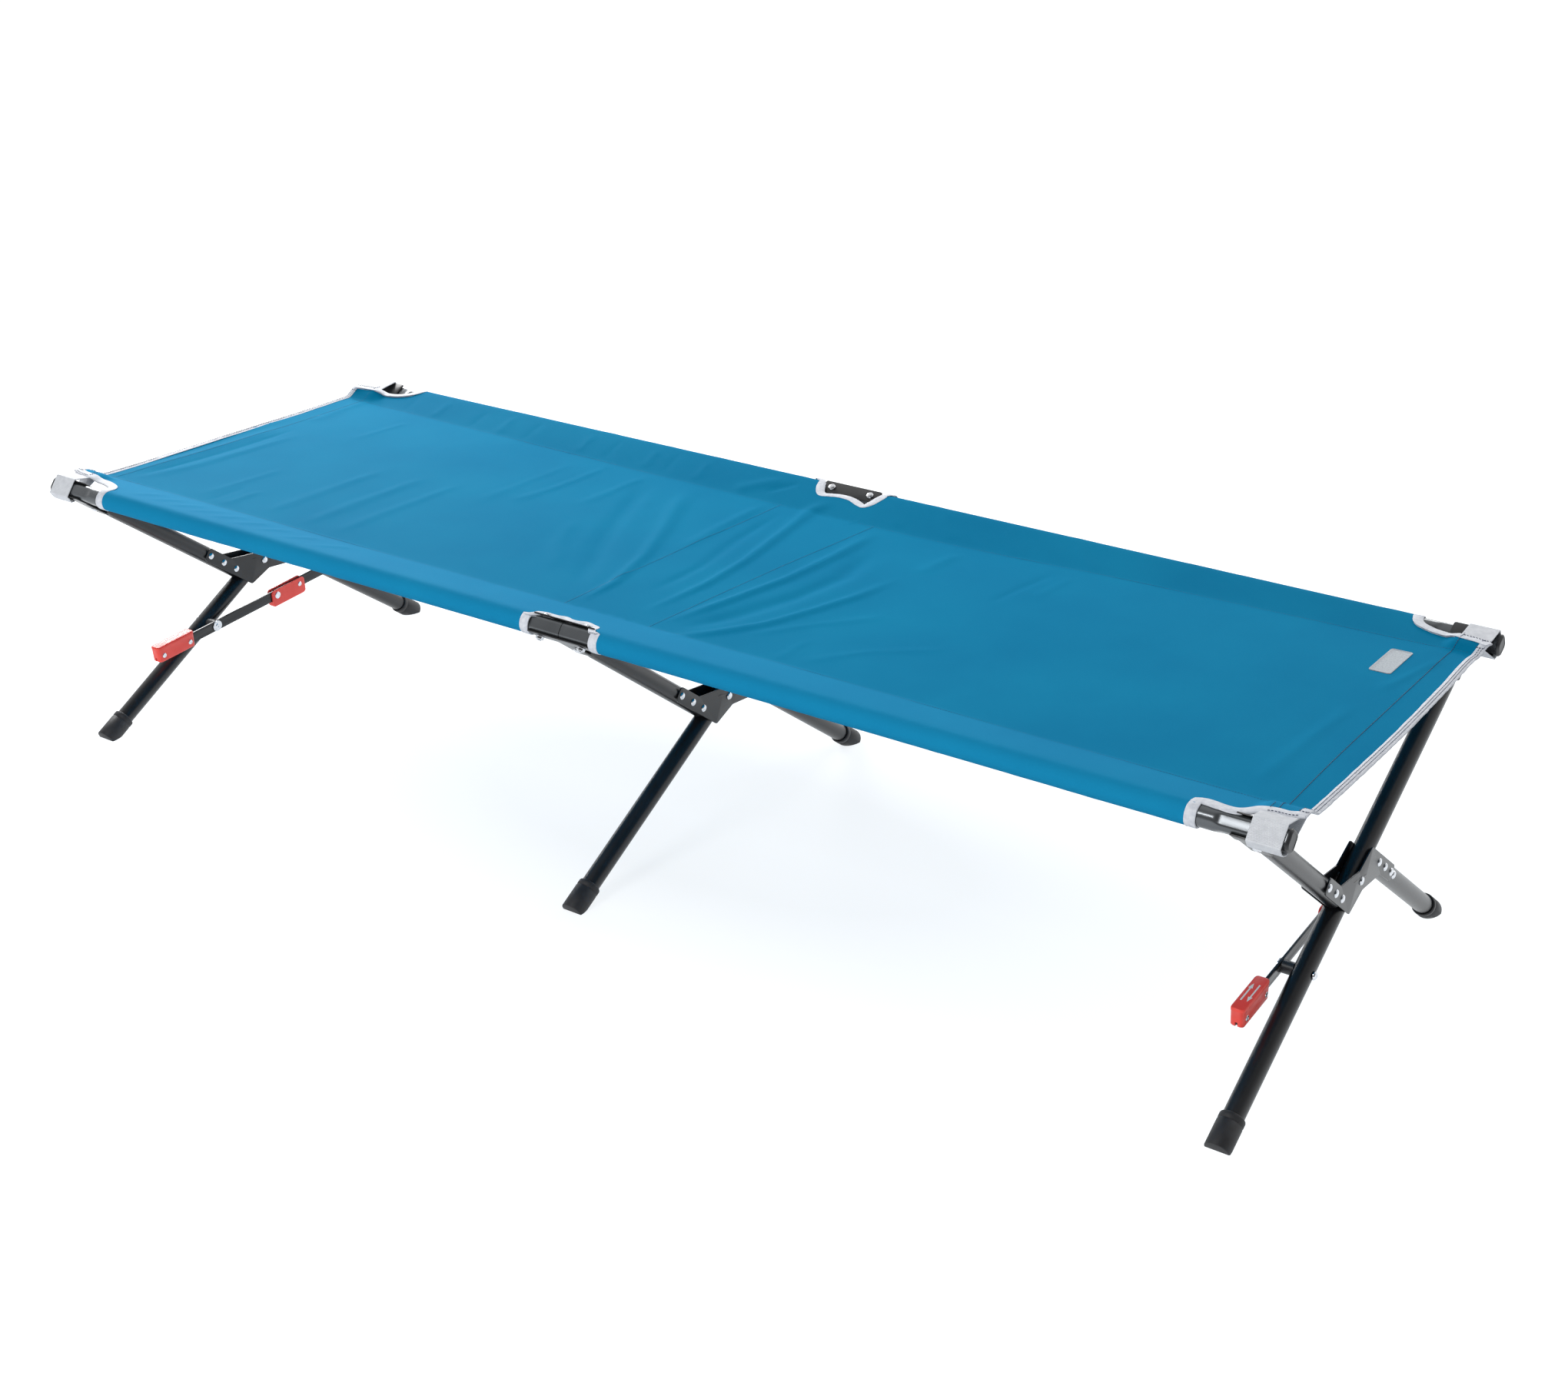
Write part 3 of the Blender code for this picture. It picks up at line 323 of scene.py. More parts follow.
def addPlate(bm, outline, holes, low, high, toPoint):
    # flat plate with through holes, its rims closed
    sides = []
    for level in (low, high):
        rings = [[bm.verts.new(toPoint(a, b, level)) for a, b in loop] for loop in [outline] + list(holes)]
        edges = []
        for ring in rings:
            for i in range(len(ring)):
                edges.append(bm.edges.new((ring[i], ring[(i + 1) % len(ring)])))
        bmesh.ops.triangle_fill(bm, use_beauty=True, use_dissolve=False, edges=edges)
        sides.append(rings)
    for first, second in zip(sides[0], sides[1]):
        bridge(bm, first, second)


# repeated pieces made by geometry nodes

def openTree(name, inputs):
    # a geometry group with a geometry way in and out and named sizes
    tree = bpy.data.node_groups.new(name, "GeometryNodeTree")
    tree.interface.new_socket("Geometry", in_out="INPUT", socket_type="NodeSocketGeometry")
    for label, kind, value in inputs:
        socket = tree.interface.new_socket(label, in_out="INPUT", socket_type=kind)
        if value is not None:
            socket.default_value = value
    tree.interface.new_socket("Geometry", in_out="OUTPUT", socket_type="NodeSocketGeometry")
    return tree, addNode(tree, "NodeGroupInput"), addNode(tree, "NodeGroupOutput")


def closeTree(tree, given, made, copies):
    # the copies become one plain mesh in the given finish
    real = addNode(tree, "GeometryNodeRealizeInstances", links={"Geometry": copies.outputs["Instances"]})
    dressed = addNode(tree, "GeometryNodeSetMaterial", links={"Geometry": real.outputs["Geometry"],
                                                              "Material": given.outputs["Finish"]})
    tree.links.new(dressed.outputs["Geometry"], made.inputs["Geometry"])


# rivet heads: a dome stands on every point and faces along its aim
rivetTree, given, made = openTree("rivetHeads", [
    ("Head Radius", "NodeSocketFloat", 0.005), ("Head Rise", "NodeSocketFloat", 0.0026),
    ("Finish", "NodeSocketMaterial", None)])
dome = addNode(rivetTree, "GeometryNodeMeshUVSphere", values={"Segments": 24, "Rings": 12, "Radius": 1.0})
aim = addNode(rivetTree, "GeometryNodeInputNamedAttribute", {"data_type": "FLOAT_VECTOR"}, {"Name": "aim"})
face = addNode(rivetTree, "FunctionNodeAlignRotationToVector", {"axis": "Z"},
               links={"Vector": aim.outputs["Attribute"]})
size = addNode(rivetTree, "ShaderNodeCombineXYZ", links={
    "X": given.outputs["Head Radius"], "Y": given.outputs["Head Radius"], "Z": given.outputs["Head Rise"]})
heads = addNode(rivetTree, "GeometryNodeInstanceOnPoints", links={
    "Points": given.outputs["Geometry"], "Instance": dome.outputs["Mesh"], "Rotation": face.outputs["Rotation"],
    "Scale": size.outputs["Vector"]})
closeTree(rivetTree, given, made, heads)

# stitches: short thread lengths laid end to end along a line, a small gap between them
stitchTree, given, made = openTree("stitches", [
    ("Pitch", "NodeSocketFloat", 0.0045), ("Length", "NodeSocketFloat", 0.0034),
    ("Thread", "NodeSocketFloat", 0.0008), ("Finish", "NodeSocketMaterial", None)])
line = addNode(stitchTree, "GeometryNodeMeshToCurve", links={"Mesh": given.outputs["Geometry"]})
steps = addNode(stitchTree, "GeometryNodeResampleCurve", {"mode": "LENGTH"},
                links={"Curve": line.outputs["Curve"], "Length": given.outputs["Pitch"]})
spots = addNode(stitchTree, "GeometryNodeCurveToPoints", {"mode": "EVALUATED"},
                links={"Curve": steps.outputs["Curve"]})
run = addNode(stitchTree, "FunctionNodeAlignRotationToVector", {"axis": "Z"},
              links={"Vector": spots.outputs["Tangent"]})
strand = addNode(stitchTree, "GeometryNodeMeshUVSphere", values={"Segments": 6, "Rings": 4, "Radius": 0.5})
shape = addNode(stitchTree, "ShaderNodeCombineXYZ", links={
    "X": given.outputs["Thread"], "Y": given.outputs["Thread"], "Z": given.outputs["Length"]})
sewn = addNode(stitchTree, "GeometryNodeInstanceOnPoints", links={
    "Points": spots.outputs["Points"], "Instance": strand.outputs["Mesh"], "Rotation": run.outputs["Rotation"],
    "Scale": shape.outputs["Vector"]})
closeTree(stitchTree, given, made, sewn)


def repeatPiece(name, tree, sizes, material, body, points=(), aims=(), lines=(), ride=True):
    # points with aims, or lines of points, go through a geometry tree and come out as one plain mesh
    mesh = bpy.data.meshes.new(name + "Guide")
    spots, edges = list(points), []
    for path in lines:
        first = len(spots)
        spots += path
        edges += [(first + i, first + i + 1) for i in range(len(path) - 1)]
    mesh.from_pydata([tuple(p) for p in spots], edges, [])
    if aims:
        attribute = mesh.attributes.new("aim", "FLOAT_VECTOR", "POINT")
        attribute.data.foreach_set("vector", [c for a in aims for c in a])
    guide = bpy.data.objects.new(name + "Guide", mesh)
    bpy.context.collection.objects.link(guide)
    modifier = guide.modifiers.new("repeat", "NODES")
    modifier.node_group = tree
    for item in tree.interface.items_tree:
        if item.in_out == "INPUT" and item.name in sizes:
            modifier[item.identifier] = sizes[item.name]
        if item.in_out == "INPUT" and item.name == "Finish":
            modifier[item.identifier] = material
    bpy.context.view_layer.update()
    shown = guide.evaluated_get(bpy.context.evaluated_depsgraph_get())
    result = bpy.data.meshes.new_from_object(shown)
    result.name = name
    bpy.data.objects.remove(guide, do_unlink=True)
    result.shade_smooth()
    piece = bpy.data.objects.new(name, result)
    bpy.context.collection.objects.link(piece)
    if ride:
        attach(piece, body)
    return piece


print("stage: materials and tools ready")


# rails: steel tube, pressed square at both ends, a dent where each pressing starts

rail = {"split": 0.0005, "squareRun": 0.052, "blend": 0.012, "stop": 0.9457, "squareFrom": 0.8767,
        "dentDepth": 0.0011, "dentWidth": 0.0032, "rivetX": 0.922, "boltX": 0.0326}


def squareness(x):  # 1 where the tube is square, 0 where it is round
    inner = 1 - ease((x - rail["split"] - rail["squareRun"]) / rail["blend"])
    outer = ease((x - rail["squareFrom"] + rail["blend"]) / rail["blend"])
    return max(inner, outer)


def loftTube(bm, places, shapeAt, pushAt=None, along="X", offset=(0, 0)):
    rings = []
    for skin in (0.0, bed["wall"]):
        level = []
        for place in places:
            half, radius = shapeAt(place)
            ring = []
            for a, b in roundedSquare(half - skin, max(radius - skin, 0.0005)):
                spot = Vector((place, a, b)) if along == "X" else Vector((a, place, b))
                if pushAt and skin == 0.0:
                    spot += pushAt(spot)
                ring.append(bm.verts.new(spot + Vector((0, offset[0], offset[1]))))
            level.append(ring)
        rings.append(level)
        loft(bm, level, capped=False)
    bridge(bm, rings[0][0], rings[1][0])
    bridge(bm, rings[0][-1], rings[1][-1])


def railShape(x):
    q = squareness(abs(x))
    return bed["tube"] + (bed["flat"] - bed["tube"]) * q, bed["tube"] + (bed["corner"] - bed["tube"]) * q


for row in railFrames:
    def dent(spot, row=row):
        push = Vector((0, 0, 0))
        for centre in (Vector((rail["squareFrom"] - 0.004, towardLegs[row] * -0.0115, 0.0)),
                       Vector((rail["squareFrom"] - 0.004, 0.0, 0.0115))):
            away = (Vector((abs(spot.x), spot.y, spot.z)) - centre).length
            inward = Vector((0, -spot.y, -spot.z)).normalized()
            push += inward * rail["dentDepth"] * exp(-(away / rail["dentWidth"]) ** 2)
        return push

    for side, sign in ends.items():
        places = [rail["split"], 0.006, 0.026, 0.046] + [0.0525 + 0.0015 * k for k in range(9)]
        places += [0.075, 0.2, 0.4, 0.6, 0.8, 0.850] + [0.858 + 0.0012 * k for k in range(24)]
        places += [0.90, 0.93, rail["stop"] - 0.0006, rail["stop"]]
        bm = bmesh.new()
        loftTube(bm, [sign * x for x in places], railShape, dent)
        addPiece(f"railTube_{row}_{side}", bm, railEnamel, rowBody[row], [f"{row}_rail_{side}"],
                 railFrames[row], sharp=40)

# end plugs: a flange over the tube's end and a ribbed stub inside
plug = {"flange": 0.0121, "face": 0.0101, "stub": 0.0094}
stop, end = rail["stop"], bed["end"]
plugProfile = [  # place, half width and corner radius
    (0.934, plug["stub"] - 0.0012, 0.0045), (0.936, plug["stub"], 0.0053),
    (stop + 0.0002, plug["stub"], 0.0053), (stop + 0.0003, plug["flange"] - 0.0004, 0.0074),
    (stop + 0.0007, plug["flange"], 0.0078), (end - 0.0021, plug["flange"], 0.0078),
    (end - 0.0017, plug["flange"] - 0.0003, 0.0075), (end - 0.0005, plug["face"] + 0.0004, 0.0060),
    (end - 0.0001, plug["face"], 0.0057), (end, plug["face"] - 0.0004, 0.0053),
    (end, plug["face"] - 0.0016, 0.0041), (end - 0.0004, plug["face"] - 0.0020, 0.0037),
    (end - 0.0004, plug["face"] - 0.0040, 0.0020)]
for row in railFrames:
    for side, sign in ends.items():
        bm = bmesh.new()
        rings = [[bm.verts.new((sign * x, a, b)) for a, b in roundedSquare(half, radius, 8)]
                 for x, half, radius in plugProfile]
        loft(bm, rings)
        addPiece(f"endPlug_{row}_{side}", bm, plugPlastic, rowBody[row], [f"{row}_plug_{side}"],
                 railFrames[row], sharp=38)
print("stage: rails")


# pressed steel that joins the leg tops to the rails

pressing = {"near": 0.0112, "far": 0.0128, "half": 0.011, "stemHalf": 0.012, "stemEnd": 0.058, "rivet": 0.038,
            "hingeHalf": 0.048, "forkOut": 0.037, "forkIn": 0.017, "web": 0.0149,
            "rivetRadius": 0.0052, "rivetRise": 0.0026, "boltHead": 0.0055}


def teeOutline(low, high):
    p = pressing
    points = [(low, -p["half"]), (high, -p["half"]), (high, p["half"]), (p["stemHalf"], p["half"]),
              (p["stemHalf"], p["stemEnd"]), (-p["stemHalf"], p["stemEnd"]), (-p["stemHalf"], p["half"]),
              (low, p["half"])]
    return softCorners(points, 0.0032)


def boltPiece(bm, x):
    # domed head above, washer-faced hex nut and a thread end below
    p = pressing
    top = p["far"] + 0.0003
    head = [(0, top - 0.002), (0.0030, top - 0.002), (0.0030, top), (p["boltHead"], top),
            (p["boltHead"], top + 0.0010), (p["boltHead"] * 0.88, top + 0.0022),
            (p["boltHead"] * 0.6, top + 0.0030), (0, top + 0.0033)]
    turned(bm, head, "Z", (x, 0, 0))
    turned(bm, [(0, -top - 0.0060), (0.0024, -top - 0.0060), (0.0030, -top - 0.0054), (0.0030, top - 0.001),
                (0, top - 0.001)], "Z", (x, 0, 0), 24)
    for ring in range(4):  # thread turns that show below the nut
        z = -top - 0.0050 - 0.0002 * ring
        turned(bm, [(0.0029, z), (0.0031, z - 0.0001), (0.0029, z - 0.0002)], "Z", (x, 0, 0), 24)
    nut = [(0.0031, -top), (p["boltHead"] * 1.02, -top), (p["boltHead"] * 1.02, -top - 0.0008),
           (p["boltHead"] * 0.98, -top - 0.0010), (p["boltHead"] * 0.98, -top - 0.0040),
           (p["boltHead"] * 0.84, -top - 0.0046), (0.0031, -top - 0.0046)]
    rings = turned(bm, nut, "Z", (x, 0, 0), 6)
    bridge(bm, rings[-1], rings[0])


for row in railFrames:
    toward = towardLegs[row]
    for level, up in (("upper", 1), ("lower", -1)):
        bm = bmesh.new()
        addPlate(bm, teeOutline(-pressing["hingeHalf"], pressing["hingeHalf"]), [], pressing["near"],
                 pressing["far"], lambda a, b, c, up=up, toward=toward: (a, toward * b, up * c))
        bevelPiece(addPiece(f"hingePlate_{row}_{level}", bm, powderCoat, rowBody[row],
                            [f"{row}_hinge_plate_{level}"], railFrames[row]), 0.0006, edgeShadeMaterial=paintedEdgeShade)
    for side, sign in ends.items():
        bm = bmesh.new()
        boltPiece(bm, sign * rail["boltX"])
        bevelPiece(addPiece(f"hingeBolt_{row}_{side}", bm, zincPlate, rowBody[row],
                            [f"{row}_hinge_bolt_{side}"], railFrames[row], sharp=30), 0.00025, 2, 40)
        at = sign * bed["setX"]
        low, high = sorted((-sign * pressing["forkIn"], sign * pressing["forkOut"]))
        bm = bmesh.new()
        for up in (1, -1):
            addPlate(bm, teeOutline(low, high), [], pressing["near"], pressing["far"],
                     lambda a, b, c, up=up, toward=toward, at=at: (at + a, toward * b, up * c))
        webLow, webHigh = sorted((toward * pressing["web"], toward * (pressing["web"] + bed["plate"])))
        web = [(at - 0.0105, webLow), (at + 0.0105, webLow), (at + 0.0105, webHigh), (at - 0.0105, webHigh)]
        addPlate(bm, web, [], -pressing["near"] - 0.0002, pressing["near"] + 0.0002,
                 lambda a, b, c: (a, b, c))
        bevelPiece(addPiece(f"railFork_{row}_{side}", bm, powderCoat, rowBody[row], [f"{row}_fork_{side}"],
                            railFrames[row]), 0.0006, edgeShadeMaterial=paintedEdgeShade)
        bm = bmesh.new()
        dome = domeHead(pressing["far"] + bed["gap"], 0.0054, 0.0030)
        turned(bm, [(r, -z) for r, z in reversed(dome)] + dome, "Z", (sign * rail["rivetX"], 0, 0), 24)
        addPiece(f"forkRivet_{row}_{side}", bm, zincPlate, rowBody[row], [f"{row}_fork_rivet_{side}"],
                 railFrames[row])


# legs

leg = {"top": 0.0168, "squareEnd": 0.060, "blend": 0.012, "halfGap": 0.037, "capFloor": 0.0018}
stud = {"onLeg": 0.129, "radius": 0.0065, "from": 0.0115, "to": 0.0173}  # on leg B's lower half, for the link


def tubeStop(turn):
    return ((bed["tube"] + bed["gap"]) * cos(turn) + leg["capFloor"]) / sin(turn)


def crossingAt(x, turn):  # frame at the crossing of the leg set at x, turned along one of its legs
    return Matrix.Translation((x, 0, 0)) @ frameAt(pivot, turn)


def legShape(far):
    def shape(place):
        q = 1 - ease((far - abs(place) - leg["squareEnd"]) / leg["blend"])
        return bed["tube"] + (bed["flat"] - bed["tube"]) * q, bed["tube"] + (bed["corner"] - bed["tube"]) * q
    return shape


def roundShape(place):  # half width and corner radius of a round tube
    return bed["tube"], bed["tube"]


def topPlaces(far):
    blend = [far - leg["squareEnd"] - 0.0015 * k for k in range(10)]
    return [far - leg["top"], far - 0.030, far - 0.050] + blend + [far - 0.09, far - 0.18]


for name, x in legSets.items():
    bm = bmesh.new()
    places = topPlaces(reachA) + [0.06, 0.0, -0.14, -0.28, -reachA + tubeStop(slopeA)]
    upper = legShape(reachA)
    loftTube(bm, places, lambda p: upper(p) if p > 0 else roundShape(p), along="Y")
    addPiece(f"legA_{name}", bm, powderCoat, "back_side", [f"leg_a_{name}"], crossingAt(x, slopeA), sharp=40)
    bm = bmesh.new()
    loftTube(bm, [-p for p in topPlaces(reachB)] + [-leg["halfGap"]], legShape(reachB), along="Y",
             offset=(0, -bed["crossOffset"]))
    addPiece(f"legBUpper_{name}", bm, powderCoat, "front_side", [f"leg_b_upper_{name}"],
             crossingAt(x, -slopeB), sharp=40)
    bm = bmesh.new()
    loftTube(bm, [leg["halfGap"], 0.12, 0.24, reachC - tubeStop(slopeC)], roundShape, along="Y",
             offset=(0, bed["crossOffset"]))
    if name != "middle":  # stud that the link turns on
        low, high, r = stud["from"], stud["to"], stud["radius"]
        profile = [(0, low), (r, low), (r, high - 0.0002), (r - 0.0004, high), (0, high)]
        turned(bm, profile, "X", (0, stud["onLeg"], bed["crossOffset"]), 24, -ends[name])
    addPiece(f"legBLower_{name}", bm, powderCoat, "front_side", [f"leg_b_lower_{name}"],
             crossingAt(x, -slopeC), sharp=40)

# feet: rubber caps cut by the floor, with a lip and two ribs
foot = {"radius": 0.0153, "length": 0.044, "bore": 0.0128}


def footPiece(bm, far, direction, turn, offset):
    stop = tubeStop(turn)
    r, long = foot["radius"], foot["length"]
    profile = [(0, 0.0), (r - 0.0012, 0.0), (r - 0.0004, 0.0004), (r, 0.0012), (r, long - 0.010),
               (r - 0.0007, long - 0.0093), (r - 0.0007, long - 0.0078), (r, long - 0.0071), (r, long - 0.0016),
               (r - 0.0005, long - 0.0005), (r - 0.0014, long), (foot["bore"] + 0.0004, long),
               (foot["bore"], long - 0.0006), (foot["bore"], stop - 0.0003), (0, stop - 0.0003)]
    turned(bm, [(a, direction * (far - s)) for a, s in profile], "Y", (0, 0, offset), 48)
    up = Vector((0, sin(-turn if direction > 0 else turn), cos(turn)))
    cut = bmesh.ops.bisect_plane(bm, geom=bm.verts[:] + bm.edges[:] + bm.faces[:], plane_co=-up * pivot.z,
                                 plane_no=-up, clear_outer=True)
    rim = [e for e in cut["geom_cut"] if isinstance(e, bmesh.types.BMEdge)]
    bmesh.ops.edgeloop_fill(bm, edges=rim)


for name, x in legSets.items():
    for row, body, *sizes in (("front", "back_side", reachA, -1, slopeA, 0.0),
                              ("back", "front_side", reachC, 1, slopeC, bed["crossOffset"])):
        bm = bmesh.new()
        footPiece(bm, *sizes)
        move = crossingAt(x, slopeA if row == "front" else -slopeC)
        addPiece(f"foot_{row}_{name}", bm, mouldedRubber, body, [f"{row}_foot_{name}"], move, sharp=50)
print("stage: legs and feet")


# cross brackets and their rivets

cheek = {"near": 0.0128, "far": 0.0144, "rivets": (0.048, 0.077, 0.107), "armEnd": 0.116, "low": 0.0425,
         "high": 0.0215, "bend": (0.0165, 0.0075), "foot": 0.066, "ribFrom": (-0.027, -0.009),
         "ribTo": (0.017, 0.012), "ribHalf": 0.0016, "ribRise": 0.0009}


def onLowerArm(a, b):
    turn = radians(bed["flatter"])
    return a * cos(turn) - b * sin(turn), a * sin(turn) + b * cos(turn)


def cheekOutline():
    c = cheek
    arm = [(-c["foot"], -c["high"]), (-c["armEnd"], -c["high"]), (-c["armEnd"], -c["low"]), (-0.004, -c["low"])]
    bend = (c["bend"][0], -c["bend"][1])
    return softCorners(arm + [bend] + [onLowerArm(-a, -b) for a, b in arm] + [(-bend[0], -bend[1])], 0.006, 5)


for name, x in legSets.items():
    move = crossingAt(x, -slopeB)
    bm = bmesh.new()
    for out in (-1, 1):
        addPlate(bm, cheekOutline(), [], cheek["near"], cheek["far"], lambda a, b, c, out=out: (out * c, a, b))
    bevelPiece(addPiece(f"crossBracket_{name}", bm, powderCoat, "front_side", [f"cross_bracket_{name}"], move),
               0.0007, edgeShadeMaterial=paintedEdgeShade)
    bm = bmesh.new()  # pressed rib on each cheek
    start, end = Vector(cheek["ribFrom"]), Vector(cheek["ribTo"])
    along = (end - start).normalized()
    across = Vector((-along.y, along.x))
    for out in (-1, 1):
        rings = []
        for k in range(9):
            t = k / 8
            width = cheek["ribHalf"] * sqrt(max(0.0, 1 - (2 * t - 1) ** 8)) + 0.0001
            spot = start.lerp(end, t)
            ring = []
            for j in range(7):
                angle = pi * j / 6
                off = spot + across * width * cos(angle)
                rise = cheek["ribRise"] * sin(angle) * min(1.0, width / cheek["ribHalf"])
                ring.append(bm.verts.new((out * (cheek["far"] - 0.0002 + rise), off.x, off.y)))
            rings.append(ring)
        loft(bm, rings)
    addPiece(f"bracketRib_{name}", bm, powderCoat, "front_side", (), move)
    bm = bmesh.new()
    dome = domeHead(cheek["far"] + bed["gap"], 0.0054, 0.0029)
    turned(bm, [(r, -p) for r, p in reversed(dome)] + dome, "X", (0, 0, 0), 32)
    addPiece(f"pivotRivet_{name}", bm, zincPlate, "front_side", [f"pivot_rivet_{name}"], crossingAt(x, 0.0))

rivetSizes = {"Head Radius": pressing["rivetRadius"], "Head Rise": pressing["rivetRise"]}
spots, aims = [], []
for name, x in legSets.items():
    move = crossingAt(x, -slopeB)
    for u in cheek["rivets"]:
        for way in (-1, 1):
            for out in (-1, 1):
                u2, v2 = (-u, -bed["crossOffset"]) if way < 0 else onLowerArm(u, bed["crossOffset"])
                spots.append(move @ Vector((out * cheek["far"], u2, v2)))
                aims.append((out, 0, 0))
    if name != "middle":
        onStud = onLowerArm(stud["onLeg"], bed["crossOffset"])
        spots.append(move @ Vector((ends[name] * bed["tube"] * 0.985, *onStud)))
        aims.append((ends[name], 0, 0))
repeatPiece("bracketRivets", rivetTree, rivetSizes, zincPlate, "front_side", spots, aims)
for row in railFrames:
    spots, aims = [], []
    for x in (-bed["setX"], 0.0, bed["setX"]):
        for up in (1, -1):
            spot = Vector((x, towardLegs[row] * pressing["rivet"], up * pressing["far"]))
            spots.append(railFrames[row] @ spot)
            aims.append(tuple(railFrames[row].to_3x3() @ Vector((0, 0, up))))
    repeatPiece(f"stemRivets_{row}", rivetTree, rivetSizes, zincPlate, rowBody[row], spots, aims)
print("stage: brackets and rivets")


# locking levers

lever = {"onLeg": 0.1376, "reach": 0.126, "half": 0.008, "near": 0.0251, "far": 0.0281, "linkNear": 0.0218,
         "linkFar": 0.0248, "handleFar": 0.1225, "handleNear": 0.0505, "handleHalf": 0.0090,
         "handleTop": 0.0155, "rivets": (0.0605, 0.1120), "hole": 0.0033, "spacer": 0.0080}
pinA = Vector((-lever["onLeg"] * cos(slopeA), pivot.z - lever["onLeg"] * sin(slopeA)))
pinB = Vector((stud["onLeg"] * cos(slopeC) + bed["crossOffset"] * sin(slopeC),
               pivot.z - stud["onLeg"] * sin(slopeC) + bed["crossOffset"] * cos(slopeC)))
leverTurn = atan2(pinB.y - pinA.y, pinB.x - pinA.x)
knee = pinA + (pinB - pinA).normalized() * lever["reach"]
linkReach = (pinB - knee).length


def capsule(low, high, half, squareLow=False):
    points = [(high + half * cos(a), half * sin(a)) for a in (-pi / 2 + pi * k / 12 for k in range(13))]
    if squareLow:
        return points + [(low, half), (low, -half)]
    return points + [(low + half * cos(a), half * sin(a)) for a in (pi / 2 + pi * k / 12 for k in range(13))]


def boxInto(bm, low, high):
    corners = [bm.verts.new((x, y, z)) for x in (low[0], high[0]) for y in (low[1], high[1])
               for z in (low[2], high[2])]
    for quad in ((0, 1, 3, 2), (4, 6, 7, 5), (0, 4, 5, 1), (2, 3, 7, 6), (0, 2, 6, 4), (1, 5, 7, 3)):
        bm.faces.new([corners[i] for i in quad])


def flatHead(bm, y, radius, rise, face, away):
    # low countersunk rivet head on a side face
    sunk = -0.0008 / rise
    rim = [(0, sunk), (1, sunk), (1, 0.35), (0.86, 0.85), (0.5, 1), (0.42, 0.8), (0, 0.75)]
    turned(bm, [(radius * r, face + away * rise * p) for r, p in rim], "X", (0, y, 0), 24)


